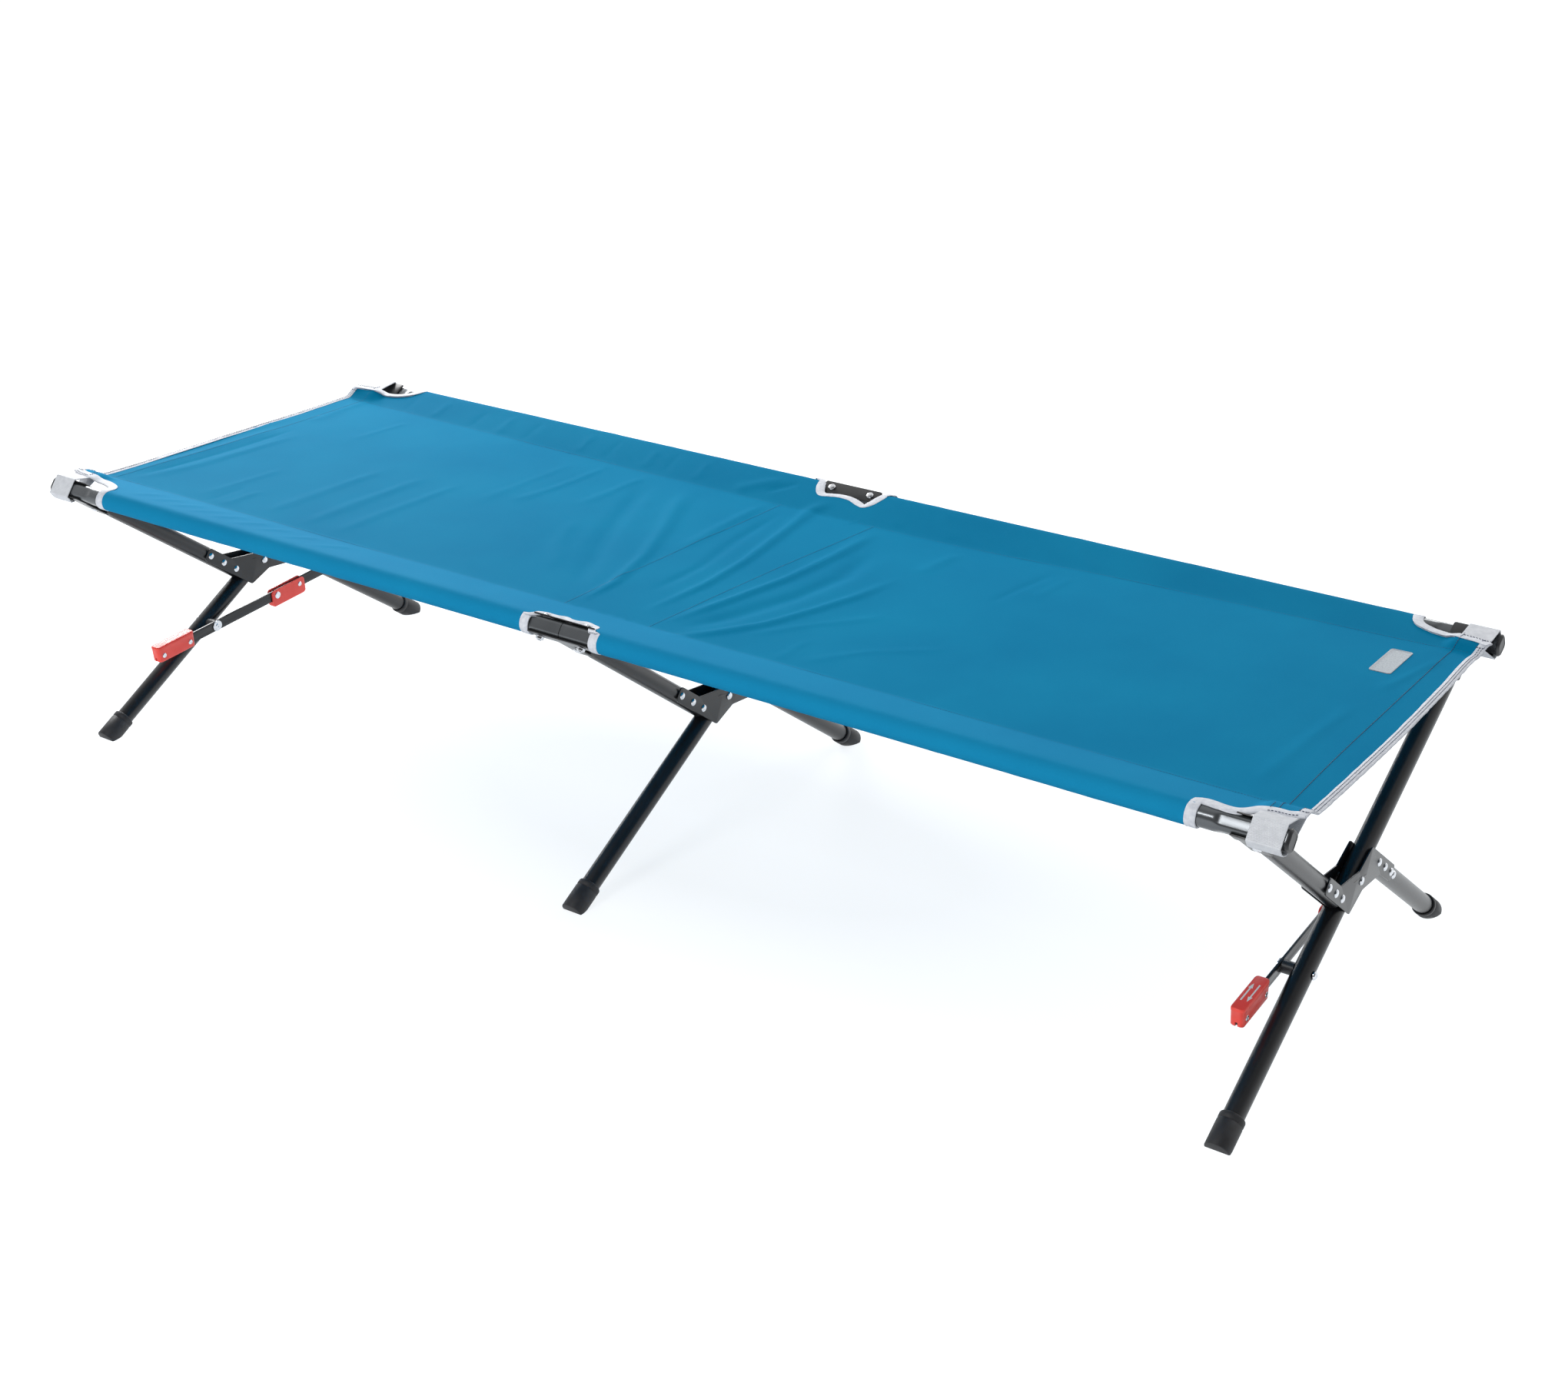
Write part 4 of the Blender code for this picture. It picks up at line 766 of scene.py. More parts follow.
for side, sign in ends.items():
    inward = -sign
    atLever = Matrix.Translation((sign * bed["setX"], pinA.x, pinA.y)) @ Matrix.Rotation(leverTurn, 4, "X")
    atLink = Matrix.Translation((sign * bed["setX"], knee.x, knee.y)) @ Matrix.Rotation(leverTurn, 4, "X")
    leverBody, linkBody = f"lever_{side}", f"link_{side}"

    bm = bmesh.new()
    holes = [circle((0, 0), lever["hole"]), circle((lever["reach"], 0), lever["hole"])]
    addPlate(bm, capsule(-lever["handleFar"] + 0.003, lever["reach"], lever["half"], True), holes,
             lever["near"], lever["far"], lambda a, b, c: (inward * c, a, b))
    bevelPiece(addPiece(f"leverBar_{side}", bm, powderCoat, leverBody, [f"lever_bar_{side}"], atLever), 0.0004)

    bm = bmesh.new()  # bolt head outside the leg, washer and riveted end on the lever
    outer = -(bed["tube"] + bed["gap"])
    head = [(0, -0.0033), (0.0030, -0.0032), (0.0046, -0.0024), (0.0055, -0.0010), (0.0055, 0.0), (0, 0.0)]
    turned(bm, [(r, outer + p) for r, p in head], segments=24, way=inward)
    face = lever["far"] + bed["gap"]
    washer = [(0.0031, 0.0), (0.0082, 0.0), (0.0085, 0.0004), (0.0085, 0.0010), (0.0082, 0.0014), (0, 0.0014)]
    turned(bm, [(r, face + p) for r, p in washer], way=inward)
    riveted = [(0.0037, 0.0013), (0.0037, 0.0017), (0.0031, 0.0023), (0.0018, 0.0024), (0.0013, 0.0020),
               (0, 0.0019)]
    turned(bm, [(r, face + p) for r, p in riveted], segments=24, way=inward)
    atBolt = Matrix.Translation((sign * bed["setX"], pinA.x, pinA.y))
    addPiece(f"leverBolt_{side}", bm, zincPlate, "back_side", [f"lever_bolt_{side}"], atBolt, sharp=28)
    bm = bmesh.new()
    r, low, high = lever["spacer"], bed["tube"] - 0.0020, lever["near"] - bed["gap"]
    turned(bm, [(0.0030, low), (r, low), (r, high - 0.0003), (r - 0.0004, high), (0.0030, high)], way=inward)
    addPiece(f"leverSpacer_{side}", bm, plugPlastic, "back_side", (), atBolt)

    # handle: drafted sides, a lipped flat top, a slot for the bar
    middle = inward * (lever["near"] + lever["far"]) / 2
    low, high = -lever["handleFar"], -lever["handleNear"]
    mid = (low + high) / 2
    bm = bmesh.new()
    rings = []
    for z, inset, cut in ((-0.0100, 0.0022, 0.0010), (-0.0092, 0.0012, 0.0003), (-0.0075, 0.0008, 0.0),
                          (0.0000, 0.0006, 0.0), (0.0101, 0.0004, 0.0), (0.0108, 0.0, 0.0), (0.0137, 0.0, 0.0),
                          (0.0147, 0.0004, 0.0), (0.0153, 0.0011, 0.0), (0.0155, 0.0021, 0.0)):
        half = lever["handleHalf"] - inset
        lowEnd, highEnd = low + inset + cut * 3, high - inset - cut
        corner = softCorners([(middle - half, lowEnd), (middle + half, lowEnd), (middle + half, highEnd),
                              (middle - half, highEnd)], 0.0060 - inset, 6)
        rings.append([bm.verts.new((a, b, z)) for a, b in corner])
    loft(bm, rings)
    handle = addPiece(f"leverHandle_{side}", bm, redNylon, leverBody, [f"lever_handle_{side}"], ride=False)
    bm = bmesh.new()
    boxInto(bm, (middle - 0.0018, low + 0.0030, -0.02), (middle + 0.0018, 0.0, 0.0083))
    boxInto(bm, (middle - 0.0016, low - 0.01, -0.02), (middle + 0.0016, low + 0.0031, -0.0030))
    slotPiece = addPiece("handleSlot", bm, redNylon, leverBody, ride=False)
    cut = handle.modifiers.new("slot", "BOOLEAN")
    cut.object = slotPiece
    cut.operation = "DIFFERENCE"
    cut.solver = "EXACT"
    cut.use_self = True
    useModifiers(handle, 35)
    bpy.data.objects.remove(slotPiece, do_unlink=True)
    handle.data.transform(atLever)
    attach(handle, leverBody)

    bm = bmesh.new()
    for y in lever["rivets"]:
        for away in (-1, 1):
            flatHead(bm, -y, 0.0037, 0.0010, middle + away * (lever["handleHalf"] - 0.0006), away)
    addPiece(f"handleRivets_{side}", bm, zincPlate, leverBody, (), atLever)

    bm = bmesh.new()  # two plain arrows printed on the handle's top
    for across, way in ((-0.0036, 1), (0.0036, -1)):
        shaft = [(-0.018, -0.0009), (0.008, -0.0009), (0.008, -0.0026), (0.018, 0.0), (0.008, 0.0026),
                 (0.008, 0.0009), (-0.018, 0.0009)]
        addPlate(bm, [(middle + across + b, mid + way * a) for a, b in shaft], [], lever["handleTop"] - 0.0001,
                 lever["handleTop"] + 0.00008, lambda a, b, c: (a, b, c))
    addPiece(f"handleArrows_{side}", bm, whiteInk, leverBody, (), atLever)

    bm = bmesh.new()  # link: flat bar, its pin and a domed head
    holes = [circle((0, 0), lever["hole"]), circle((0.048, 0), 0.0023)]
    addPlate(bm, capsule(0.0, linkReach, lever["half"]), holes, lever["linkNear"], lever["linkFar"],
             lambda a, b, c: (inward * c, a, b))
    bevelPiece(addPiece(f"linkBar_{side}", bm, powderCoat, linkBody, [f"link_bar_{side}"], atLink), 0.0004)
    bm = bmesh.new()
    boss, shank = stud["radius"], 0.0030
    pin = [(0, 0.0176), (boss, 0.0176), (boss, lever["linkNear"] + 0.0004), (shank, lever["linkNear"] + 0.0004)]
    turned(bm, pin + domeHead(lever["linkFar"], 0.0055, shank), "X", (0, linkReach, 0), 24, inward)
    addPiece(f"linkPin_{side}", bm, zincPlate, linkBody, (), atLink)

    knuckle = {"back": -0.011, "front": 0.0585, "bottom": -0.0178, "seat": -0.0086, "top": 0.010,
               "wall": 0.0023, "near": 0.0192, "far": 0.0307, "round": 0.0055}
    bm = bmesh.new()
    rings = []
    count = 9
    stations = [knuckle["back"] + knuckle["round"] * (1 - cos(pi / 2 * k / count)) for k in range(count + 1)]
    stations += [knuckle["front"] - knuckle["round"] * (1 - cos(pi / 2 * (count - k) / count))
                 for k in range(count + 1)]
    for y in stations:
        edge = min(y - knuckle["back"], knuckle["front"] - y, knuckle["round"])
        drop = knuckle["round"] - sqrt(max(0.0, knuckle["round"] ** 2 - (knuckle["round"] - edge) ** 2))
        top = knuckle["top"] - drop
        a, b, w, seat = knuckle["near"], knuckle["far"], knuckle["wall"], knuckle["seat"]
        f = knuckle["bottom"] + drop * 0.7
        section = [(a, f + 0.0012), (a + 0.0012, f), (b - 0.0012, f), (b, f + 0.0012), (b, top - 0.0005),
                   (b - 0.0005, top), (b - w + 0.0005, top), (b - w, top - 0.0005),
                   (b - w, seat), (a + w, seat), (a + w, top - 0.0005), (a + w - 0.0005, top),
                   (a + 0.0005, top), (a, top - 0.0005)]
        rings.append([bm.verts.new((inward * p, y, q)) for p, q in section])
    loft(bm, rings)
    bevelPiece(addPiece(f"knuckleCover_{side}", bm, redNylon, linkBody, [f"knuckle_cover_{side}"], atLink),
               0.0004, 2, 50)
    bm = bmesh.new()
    for y, radius in ((0.0, 0.0055), (0.048, 0.0037)):
        flatHead(bm, y, radius, 0.0010, inward * knuckle["far"], inward)
        flatHead(bm, y, radius, 0.0010, inward * knuckle["near"], -inward)
        r = 0.0030 if y == 0 else 0.0020
        shank = [(0, knuckle["near"]), (r, knuckle["near"]), (r, knuckle["far"]), (0, knuckle["far"])]
        turned(bm, shank, "X", (0, y, 0), 16, inward)
    addPiece(f"knuckleRivets_{side}", bm, zincPlate, linkBody, (), atLink)
print("stage: levers")


# cloth: a sheet whose long edges fold round the rails as sleeves

cloth = {"thick": 0.0012, "radius": 0.0137, "sleeveEnd": 0.8475, "openings": {"front": 0.0490, "back": 0.0590},
         "end": 0.9485, "sag": 0.0015, "top": 0.4037, "leave": 0.3225, "railTop": 0.325, "step": 0.0048,
         "across": 84}
# how far the cloth hangs below the rails' tops, along the bed
hang = [(-0.95, 0.0125), (-0.80, 0.0135), (-0.35, 0.0165), (-0.10, 0.0175), (0.12, 0.0175), (0.30, 0.0165),
        (0.45, 0.0140), (0.75, 0.0110), (0.95, 0.0100)]
# the sleeves' seams
seamY = [(-0.95, 0.2555), (-0.80, 0.2520), (-0.35, 0.2455), (-0.10, 0.2430), (0.12, 0.2430), (0.30, 0.2465),
         (0.45, 0.2530), (0.75, 0.2605), (0.95, 0.2625)]
# hems slightly askew
hemBow = {-1: [(-0.300, 0.0), (-0.283, 0.001), (-0.262, 0.0100), (-0.240, 0.0120), (-0.150, 0.0090),
               (0.0, 0.0035), (0.150, -0.0005), (0.245, -0.0030), (0.275, -0.0010), (0.300, 0.0)],
          1: [(-0.300, 0.0), (-0.270, 0.0005), (-0.160, 0.0005), (0.0, -0.0012), (0.150, -0.0050),
              (0.245, -0.0085), (0.275, -0.0035), (0.300, 0.0)]}
cutOuts = {  # edge of each corner's cut-out, as distances from the middle, from the sleeve's end to the hem
    ("front", "right"): [(0.8475, 0.3250), (0.8534, 0.3245), (0.8613, 0.3255), (0.8713, 0.3268),
                         (0.8813, 0.3268), (0.8913, 0.3235), (0.9006, 0.3160), (0.9090, 0.3083),
                         (0.9190, 0.3043), (0.9349, 0.3028), (0.9485, 0.2950)],
    ("back", "right"): [(0.8475, 0.3250), (0.8487, 0.3212), (0.8504, 0.3157), (0.8557, 0.3101),
                        (0.8641, 0.3059), (0.8746, 0.3020), (0.8844, 0.3003), (0.8951, 0.2981),
                        (0.9090, 0.2930), (0.9200, 0.2915), (0.9349, 0.2895), (0.9485, 0.2840)],
    ("front", "left"): [(0.8475, 0.3250), (0.8482, 0.3195), (0.8520, 0.3120), (0.8630, 0.3052),
                        (0.8763, 0.3003), (0.8880, 0.2982), (0.8980, 0.2990), (0.9080, 0.3000),
                        (0.9180, 0.2995), (0.9330, 0.2975), (0.9485, 0.2920)],
    ("back", "left"): [(0.8475, 0.3250), (0.8490, 0.3190), (0.8530, 0.3115), (0.8610, 0.3040), (0.8720, 0.2980),
                       (0.8840, 0.2955), (0.8950, 0.2945), (0.9040, 0.2905), (0.9150, 0.2885), (0.9300, 0.2870),
                       (0.9485, 0.2820)],
}
openings = {  # the same from the left to the right of each mid hinge
    "front": [(-0.0490, 0.3250), (-0.0478, 0.3180), (-0.0410, 0.3125), (-0.0213, 0.3113), (-0.0107, 0.3073),
              (0.0016, 0.3108), (0.0103, 0.3099), (0.0168, 0.3029), (0.0313, 0.3073), (0.0420, 0.3110),
              (0.0475, 0.3190), (0.0490, 0.3250)],
    "back": [(-0.0590, 0.3250), (-0.0535, 0.3104), (-0.0437, 0.2950), (-0.0328, 0.2895), (-0.0196, 0.2918),
             (-0.0063, 0.2947), (0.0059, 0.2945), (0.0193, 0.2910), (0.0317, 0.2850), (0.0428, 0.2835),
             (0.0530, 0.2965), (0.0590, 0.3250)],
}
# creases of the taut cloth: half width, height (valleys below zero), then places along the crest, in metres
creases = [
    (0.009, 0.0016, (-0.906, 0.089), (-0.909, -0.073), (-0.912, -0.240)),
    (0.009, -0.0014, (-0.884, 0.089), (-0.885, -0.073), (-0.892, -0.239)),
    (0.010, 0.0013, (-0.857, 0.079), (-0.865, -0.124), (-0.878, -0.235)),
    (0.012, 0.0009, (-0.935, 0.148), (-0.943, -0.023), (-0.947, -0.197)),
    (0.010, 0.0009, (-0.906, 0.266), (-0.902, 0.178), (-0.893, 0.119)),
    (0.014, 0.0010, (-0.632, 0.032), (-0.631, -0.120), (-0.626, -0.242)),
    (0.013, 0.0012, (-0.559, 0.044), (-0.557, -0.119), (-0.549, -0.241)),
    (0.012, 0.0010, (-0.498, 0.055), (-0.497, -0.118), (-0.489, -0.240)),
    (0.010, 0.0008, (-0.754, -0.061), (-0.753, -0.238)),
    (0.008, 0.0009, (-0.702, -0.163), (-0.697, -0.245)),
    (0.008, -0.0007, (-0.731, -0.163), (-0.727, -0.246)),
    (0.008, 0.0009, (-0.380, 0.241), (-0.380, 0.117), (-0.392, 0.016)),
    (0.010, 0.0009, (-0.305, 0.237), (-0.306, 0.067)),
    (0.009, 0.0007, (-0.769, 0.215), (-0.777, 0.091)),
    (0.012, 0.0006, (-0.430, 0.225), (-0.430, -0.015)),
    (0.016, 0.0027, (-0.230, 0.238), (-0.185, 0.144), (-0.140, 0.054), (-0.099, -0.037), (-0.064, -0.150),
     (-0.057, -0.238)),
    (0.017, -0.0019, (-0.291, 0.222), (-0.246, 0.113), (-0.196, 0.003), (-0.140, -0.099), (-0.083, -0.213)),
    (0.013, 0.0011, (-0.271, 0.017), (-0.221, -0.074), (-0.159, -0.156)),
    (0.009, 0.0014, (-0.091, 0.239), (-0.087, 0.124), (-0.075, 0.003)),
    (0.013, 0.0026, (-0.005, 0.289), (-0.022, 0.244), (-0.002, 0.145), (0.022, 0.024), (0.033, -0.078),
     (0.030, -0.233)),
    (0.012, -0.0013, (-0.054, 0.229), (-0.038, 0.095), (-0.013, -0.027), (-0.005, -0.166)),
    (0.010, 0.0029, (0.101, 0.242), (0.108, 0.124), (0.106, 0.003), (0.092, -0.109), (0.071, -0.236)),
    (0.016, -0.0027, (0.134, 0.189), (0.161, 0.054), (0.153, -0.048), (0.128, -0.150), (0.096, -0.238)),
    (0.010, 0.0024, (0.225, 0.098), (0.217, 0.003), (0.199, -0.069), (0.176, -0.151), (0.141, -0.213),
     (0.097, -0.271)),
    (0.012, 0.0010, (0.240, 0.218), (0.235, 0.118)),
    (0.008, 0.0009, (0.293, -0.029), (0.222, -0.120), (0.177, -0.197)),
    (0.009, 0.0008, (0.423, -0.075), (0.330, -0.153), (0.275, -0.238)),
    (0.007, 0.0007, (0.250, -0.157), (0.255, -0.242)),
    (0.010, -0.0009, (0.385, 0.228), (0.374, 0.144), (0.367, 0.070)),
    (0.010, 0.0006, (0.412, 0.227), (0.405, 0.113)),
    (0.014, 0.0008, (0.872, 0.053), (0.866, -0.099), (0.865, -0.244)),
    (0.007, 0.0009, (0.909, 0.232), (0.877, 0.083)),
    (0.004, 0.0002, (0.104, 0.005), (0.402, 0.002), (0.750, -0.012)),
    (0.004, 0.0002, (-0.432, -0.001), (-0.130, -0.002), (0.083, -0.004)),
    (0.012, 0.0014, (-0.101, 0.317), (-0.144, 0.273), (-0.164, 0.253)),
    (0.010, -0.0011, (-0.080, 0.309), (-0.116, 0.266)),
    (0.009, -0.0006, (-0.831, 0.317), (-0.824, 0.279), (-0.818, 0.251)),
    (0.009, 0.0008, (-0.769, 0.317), (-0.762, 0.279), (-0.756, 0.252)),
    (0.009, -0.0006, (-0.687, 0.317), (-0.680, 0.279), (-0.674, 0.252)),
    (0.009, 0.0008, (-0.631, 0.317), (-0.624, 0.279), (-0.617, 0.253)),
    (0.009, -0.0006, (-0.577, 0.317), (-0.569, 0.280), (-0.563, 0.253)),
    (0.009, 0.0008, (-0.471, 0.317), (-0.463, 0.280), (-0.456, 0.253)),
    (0.009, -0.0006, (-0.419, 0.317), (-0.411, 0.280), (-0.404, 0.254)),
    (0.009, 0.0008, (-0.345, 0.317), (-0.336, 0.280), (-0.329, 0.254)),
    (0.009, -0.0006, (-0.307, 0.317), (-0.298, 0.280), (-0.291, 0.254)),
    (0.009, 0.0008, (-0.249, 0.317), (-0.240, 0.281), (-0.232, 0.254)),
    (0.010, 0.0006, (0.069, 0.313), (0.094, 0.281), (0.125, 0.255)),
    (0.010, 0.0006, (0.154, 0.313), (0.179, 0.281), (0.211, 0.255)),
    (0.010, 0.0006, (0.254, 0.313), (0.280, 0.281), (0.313, 0.254)),
    (0.010, 0.0006, (0.370, 0.313), (0.396, 0.280), (0.430, 0.253)),
    (0.008, 0.0009, (-0.816, -0.325), (-0.795, -0.292), (-0.777, -0.266)),
    (0.008, 0.0009, (-0.774, -0.325), (-0.753, -0.292), (-0.735, -0.265)),
    (0.008, 0.0009, (-0.733, -0.325), (-0.712, -0.291), (-0.694, -0.265)),
    (0.008, 0.0009, (-0.694, -0.325), (-0.673, -0.291), (-0.655, -0.265)),
    (0.008, 0.0009, (-0.654, -0.325), (-0.633, -0.291), (-0.615, -0.264)),
    (0.008, 0.0009, (-0.610, -0.325), (-0.589, -0.291), (-0.571, -0.264)),
    (0.008, 0.0009, (-0.566, -0.325), (-0.546, -0.291), (-0.527, -0.263)),
    (0.008, 0.0009, (-0.514, -0.325), (-0.494, -0.290), (-0.475, -0.263)),
    (0.008, 0.0009, (-0.456, -0.325), (-0.436, -0.290), (-0.417, -0.262)),
]
creaseBoxes = []  # beyond these bounds a crease has faded out
for width, height, *path in creases:
    xs, ys = zip(*path)
    creaseBoxes.append((min(xs) - 4 * width, max(xs) + 4 * width, min(ys) - 4 * width, max(ys) + 4 * width))


def along(points, x):  # smooth curve through points of rising x
    last = len(points) - 1
    for i in range(last):
        (x0, y0), (x1, y1) = points[i], points[i + 1]
        if x <= x1 or i == last - 1:
            t = min(1.0, max(0.0, (x - x0) / (x1 - x0)))
            square, cube = t * t, t ** 3
            before, after = points[max(i - 1, 0)], points[min(i + 2, last)]
            m0 = (y1 - before[1]) / (x1 - before[0]) * (x1 - x0)
            m1 = (after[1] - y0) / (after[0] - x0) * (x1 - x0)
            places = (2 * cube - 3 * square + 1) * y0 + (3 * square - 2 * cube) * y1
            return places + (cube - 2 * square + t) * m0 + (cube - square) * m1


def edgeY(x, side):  # outer edge of the flat part over the rails or at a cut-out
    row = "front" if side < 0 else "back"
    if abs(x) < cloth["openings"][row]:
        return along(openings[row], x)
    if abs(x) > cloth["sleeveEnd"]:
        return along(cutOuts[row, "left" if x < 0 else "right"], abs(x))
    return cloth["railTop"]


def creaseHeight(x, y):
    total = 0.0
    for (width, height, *path), (lowX, highX, lowY, highY) in zip(creases, creaseBoxes):
        if not (lowX < x < highX and lowY < y < highY):
            continue
        best, reached, count = 9.0, 0.0, len(path) - 1
        for i, (start, end) in enumerate(zip(path, path[1:])):
            ax, ay = end[0] - start[0], end[1] - start[1]
            t = min(1.0, max(0.0, ((x - start[0]) * ax + (y - start[1]) * ay) / (ax * ax + ay * ay)))
            away = hypot(x - start[0] - ax * t, y - start[1] - ay * t)
            if away < best:
                best, reached = away, (i + t) / count
        fade = ease(min(reached, 1 - reached) / 0.22)  # each crease runs out at its ends
        spread = width * (0.75 + 0.5 * noise.noise(Vector((reached * 2.3, height * 900, width * 70))))
        total += 1.2 * height * fade * exp(-(best / max(spread, 0.003)) ** 2)
    return total


def clothHeight(x, y):
    drop, seam = along(hang, x), along(seamY, x)
    climb = min(1.0, max(0.0, (abs(y) - seam) / (cloth["leave"] - seam)))
    level = cloth["top"] - drop * (1 - climb) - cloth["sag"] * (1 - min(1.0, abs(y) / seam) ** 2)
    lift = ease((abs(x) - 0.890) / 0.018) * ease((abs(y) - 0.256) / 0.026)  # corners drawn up by the straps
    level += (cloth["top"] + 0.0012 - level) * lift
    hold = ease((cloth["railTop"] - 0.004 - abs(y)) / 0.03) * (1 - 0.6 * lift)
    soft = noise.noise(Vector((x * 3.1, y * 4.3, 1.7))) * 0.0012
    soft += noise.noise(Vector((x * 9.0, y * 5.0, 4.2))) * 0.0006
    fine = noise.noise(Vector((x * 31.0, y * 13.0, 8.8))) * 0.00018
    return level + hold * (creaseHeight(x, y) + soft + fine)


def hemPulled(x, y):
    if abs(x) <= cloth["sleeveEnd"]:
        return x
    share = (abs(x) - cloth["sleeveEnd"]) / (cloth["end"] - cloth["sleeveEnd"])
    return x + along(hemBow[-1 if x < 0 else 1], y) * share ** 2


wrapSteps = 18


def sleeveSection(x):
    # depth from the rail and height, from the seam under the rail to its top
    seam = (cloth["railTop"] - along(seamY, x),
            cloth["top"] - along(hang, x) - cloth["thick"] - 0.0004 - bed["railZ"])
    start = atan2(seam[1], seam[0]) - acos(cloth["radius"] / hypot(*seam))
    touch = (cloth["radius"] * cos(start), cloth["radius"] * sin(start))
    points = [(seam[0] + (touch[0] - seam[0]) * k / 3, seam[1] + (touch[1] - seam[1]) * k / 3)
              for k in range(3)]
    sweep = start + 1.5 * pi
    return points + [(cloth["radius"] * cos(start - sweep * k / wrapSteps),
                      cloth["radius"] * sin(start - sweep * k / wrapSteps)) for k in range(wrapSteps + 1)]


def pucker(x, depth):  # small gathers of the sleeve where the seam pulls it
    fine = 0.00035 * noise.noise(Vector((x * 46.0, depth * 20.0, 2.0)))
    return fine + 0.0004 * noise.noise(Vector((x * 12.0, depth * 8.0, 5.0)))


def clothColumns():
    narrow, wide = cloth["openings"]["front"], cloth["openings"]["back"]
    marks = [narrow * k / 12 for k in range(12)] + [narrow - 0.0014, narrow, (narrow + wide) / 2, wide - 0.0014]
    span = cloth["sleeveEnd"] - wide
    count = round(span / cloth["step"])
    marks += [wide + span * k / count for k in range(count + 1)]
    beyond = cloth["end"] - cloth["sleeveEnd"]
    marks += [cloth["sleeveEnd"] + 0.0012] + [cloth["sleeveEnd"] + beyond * k / 24 for k in range(1, 25)]
    return [-m for m in reversed(marks[1:])] + marks


columns = clothColumns()
bm = bmesh.new()
uv = bm.loops.layers.uv.new("cloth")
grid, flatAt = [], {}
for x in columns:
    column, section = [], sleeveSection(x)
    for row, side in (("front", -1), ("back", 1)):
        wrap = []
        if cloth["openings"][row] - 1e-6 <= abs(x) <= cloth["sleeveEnd"] + 1e-6:
            for depth, height in section[:-1]:
                lift = pucker(x, depth + height * 3) * (1 if depth < 0.045 else 0)
                r = hypot(depth, height) if depth < 0.02 else 1.0
                away = Vector((0, side * (cloth["railTop"] - depth), bed["railZ"] + height))
                if depth < 0.02:
                    away += Vector((0, -side * depth / r, height / r)) * max(0.0, lift)
                else:
                    away.z -= max(0.0, lift)
                wrap.append(Vector((x, away.y, away.z)))
        else:
            wrap = [None] * (len(section) - 1)
        column.append(wrap)
    top = []
    for k in range(cloth["across"] + 1):
        share = -cos(pi * k / cloth["across"]) * 0.25 + (2 * k / cloth["across"] - 1) * 0.75
        y = edgeY(x, share) * share
        across = hemPulled(x, y)
        top.append(Vector((across, y, clothHeight(across, y))))
    grid.append(column[0] + top + column[1][::-1])
verts = [[bm.verts.new(p) if p is not None else None for p in column] for column in grid]
for column, row in zip(grid, verts):
    middle = len(row) // 2
    flatAt[row[middle]] = (column[middle].x, 0.0)
    for way in (1, -1):
        runs, j = 0.0, middle
        while 0 <= j + way < len(row) and row[j + way] is not None:
            runs += (column[j + way] - column[j]).length
            j += way
            flatAt[row[j]] = (column[j].x, way * runs)
for first, second in zip(verts, verts[1:]):
    for j in range(len(first) - 1):
        quad = (first[j], second[j], second[j + 1], first[j + 1])
        if None not in quad:
            face = bm.faces.new(quad)
            for loop in face.loops:
                loop[uv].uv = flatAt[loop.vert]
bmesh.ops.recalc_face_normals(bm, faces=bm.faces)
flatArea = sum(f.calc_area() for f in bm.faces)
# painted shade where the back sleeve's flap lies under the cloth, and a painted highlight on the front flap,
# which faces the light
backFlapShade = bm.verts.layers.float.new("backFlapShade")  # where the back sleeve's flap lies under the cloth
frontFlapLight = bm.verts.layers.float.new("frontFlapLight")  # the front sleeve's flap, which lies open to the light
for v in bm.verts:
    v[backFlapShade] = ease((v.co.y - along(seamY, v.co.x)) / 0.004 + 0.5)
    v[frontFlapLight] = 0.13 * ease((-v.co.y - along(seamY, v.co.x)) / 0.004 + 0.5)

# blue polyester, tightly woven: matt, nearly no gloss; painted darker over the back sleeve's flap as painted
# shade, and painted paler on the front flap as a painted highlight
blueCloth, tree, shader = startMaterial("bluePolyesterWeave", "0484b2", 0.8, Specular_IOR_Level=0.03)
place = addNode(tree, "ShaderNodeUVMap", {"uv_map": "cloth"})
cloudy = addNode(tree, "ShaderNodeTexNoise", values={"Scale": 5.0, "Detail": 4.0},
                 links={"Vector": place.outputs["UV"]})
speck = addNode(tree, "ShaderNodeTexNoise", values={"Scale": 420.0, "Detail": 2.0},
                links={"Vector": place.outputs["UV"]})
both = addNode(tree, "ShaderNodeMath", {"operation": "MULTIPLY_ADD"}, {1: 0.35},
               {0: speck.outputs["Fac"], 2: cloudy.outputs["Fac"]})
ramp = addNode(tree, "ShaderNodeValToRGB", links={"Fac": both.outputs["Value"]})
ramp.color_ramp.elements[0].position = 0.45
ramp.color_ramp.elements[1].position = 0.95
ramp.color_ramp.elements[0].color = linear("027da9")
ramp.color_ramp.elements[1].color = linear("0987b1")
flap = addNode(tree, "ShaderNodeAttribute", {"attribute_name": "backFlapShade"})
# painted shade: darker where the back flap lies under the cloth
paintedFlapShade = addNode(tree, "ShaderNodeMix", {"data_type": "RGBA", "blend_type": "MULTIPLY"}, {7: linear("f4f6f6")},
                 {0: flap.outputs["Fac"], 6: ramp.outputs["Color"]})
flap = addNode(tree, "ShaderNodeAttribute", {"attribute_name": "frontFlapLight"})
# painted highlight: paler on the front flap, which faces the light
paintedFlapHighlight = addNode(tree, "ShaderNodeMix", {"data_type": "RGBA"}, {7: linear("45b5f2")},
                {0: flap.outputs["Fac"], 6: paintedFlapShade.outputs[2]})
tree.links.new(paintedFlapHighlight.outputs[2], shader.inputs["Base Color"])
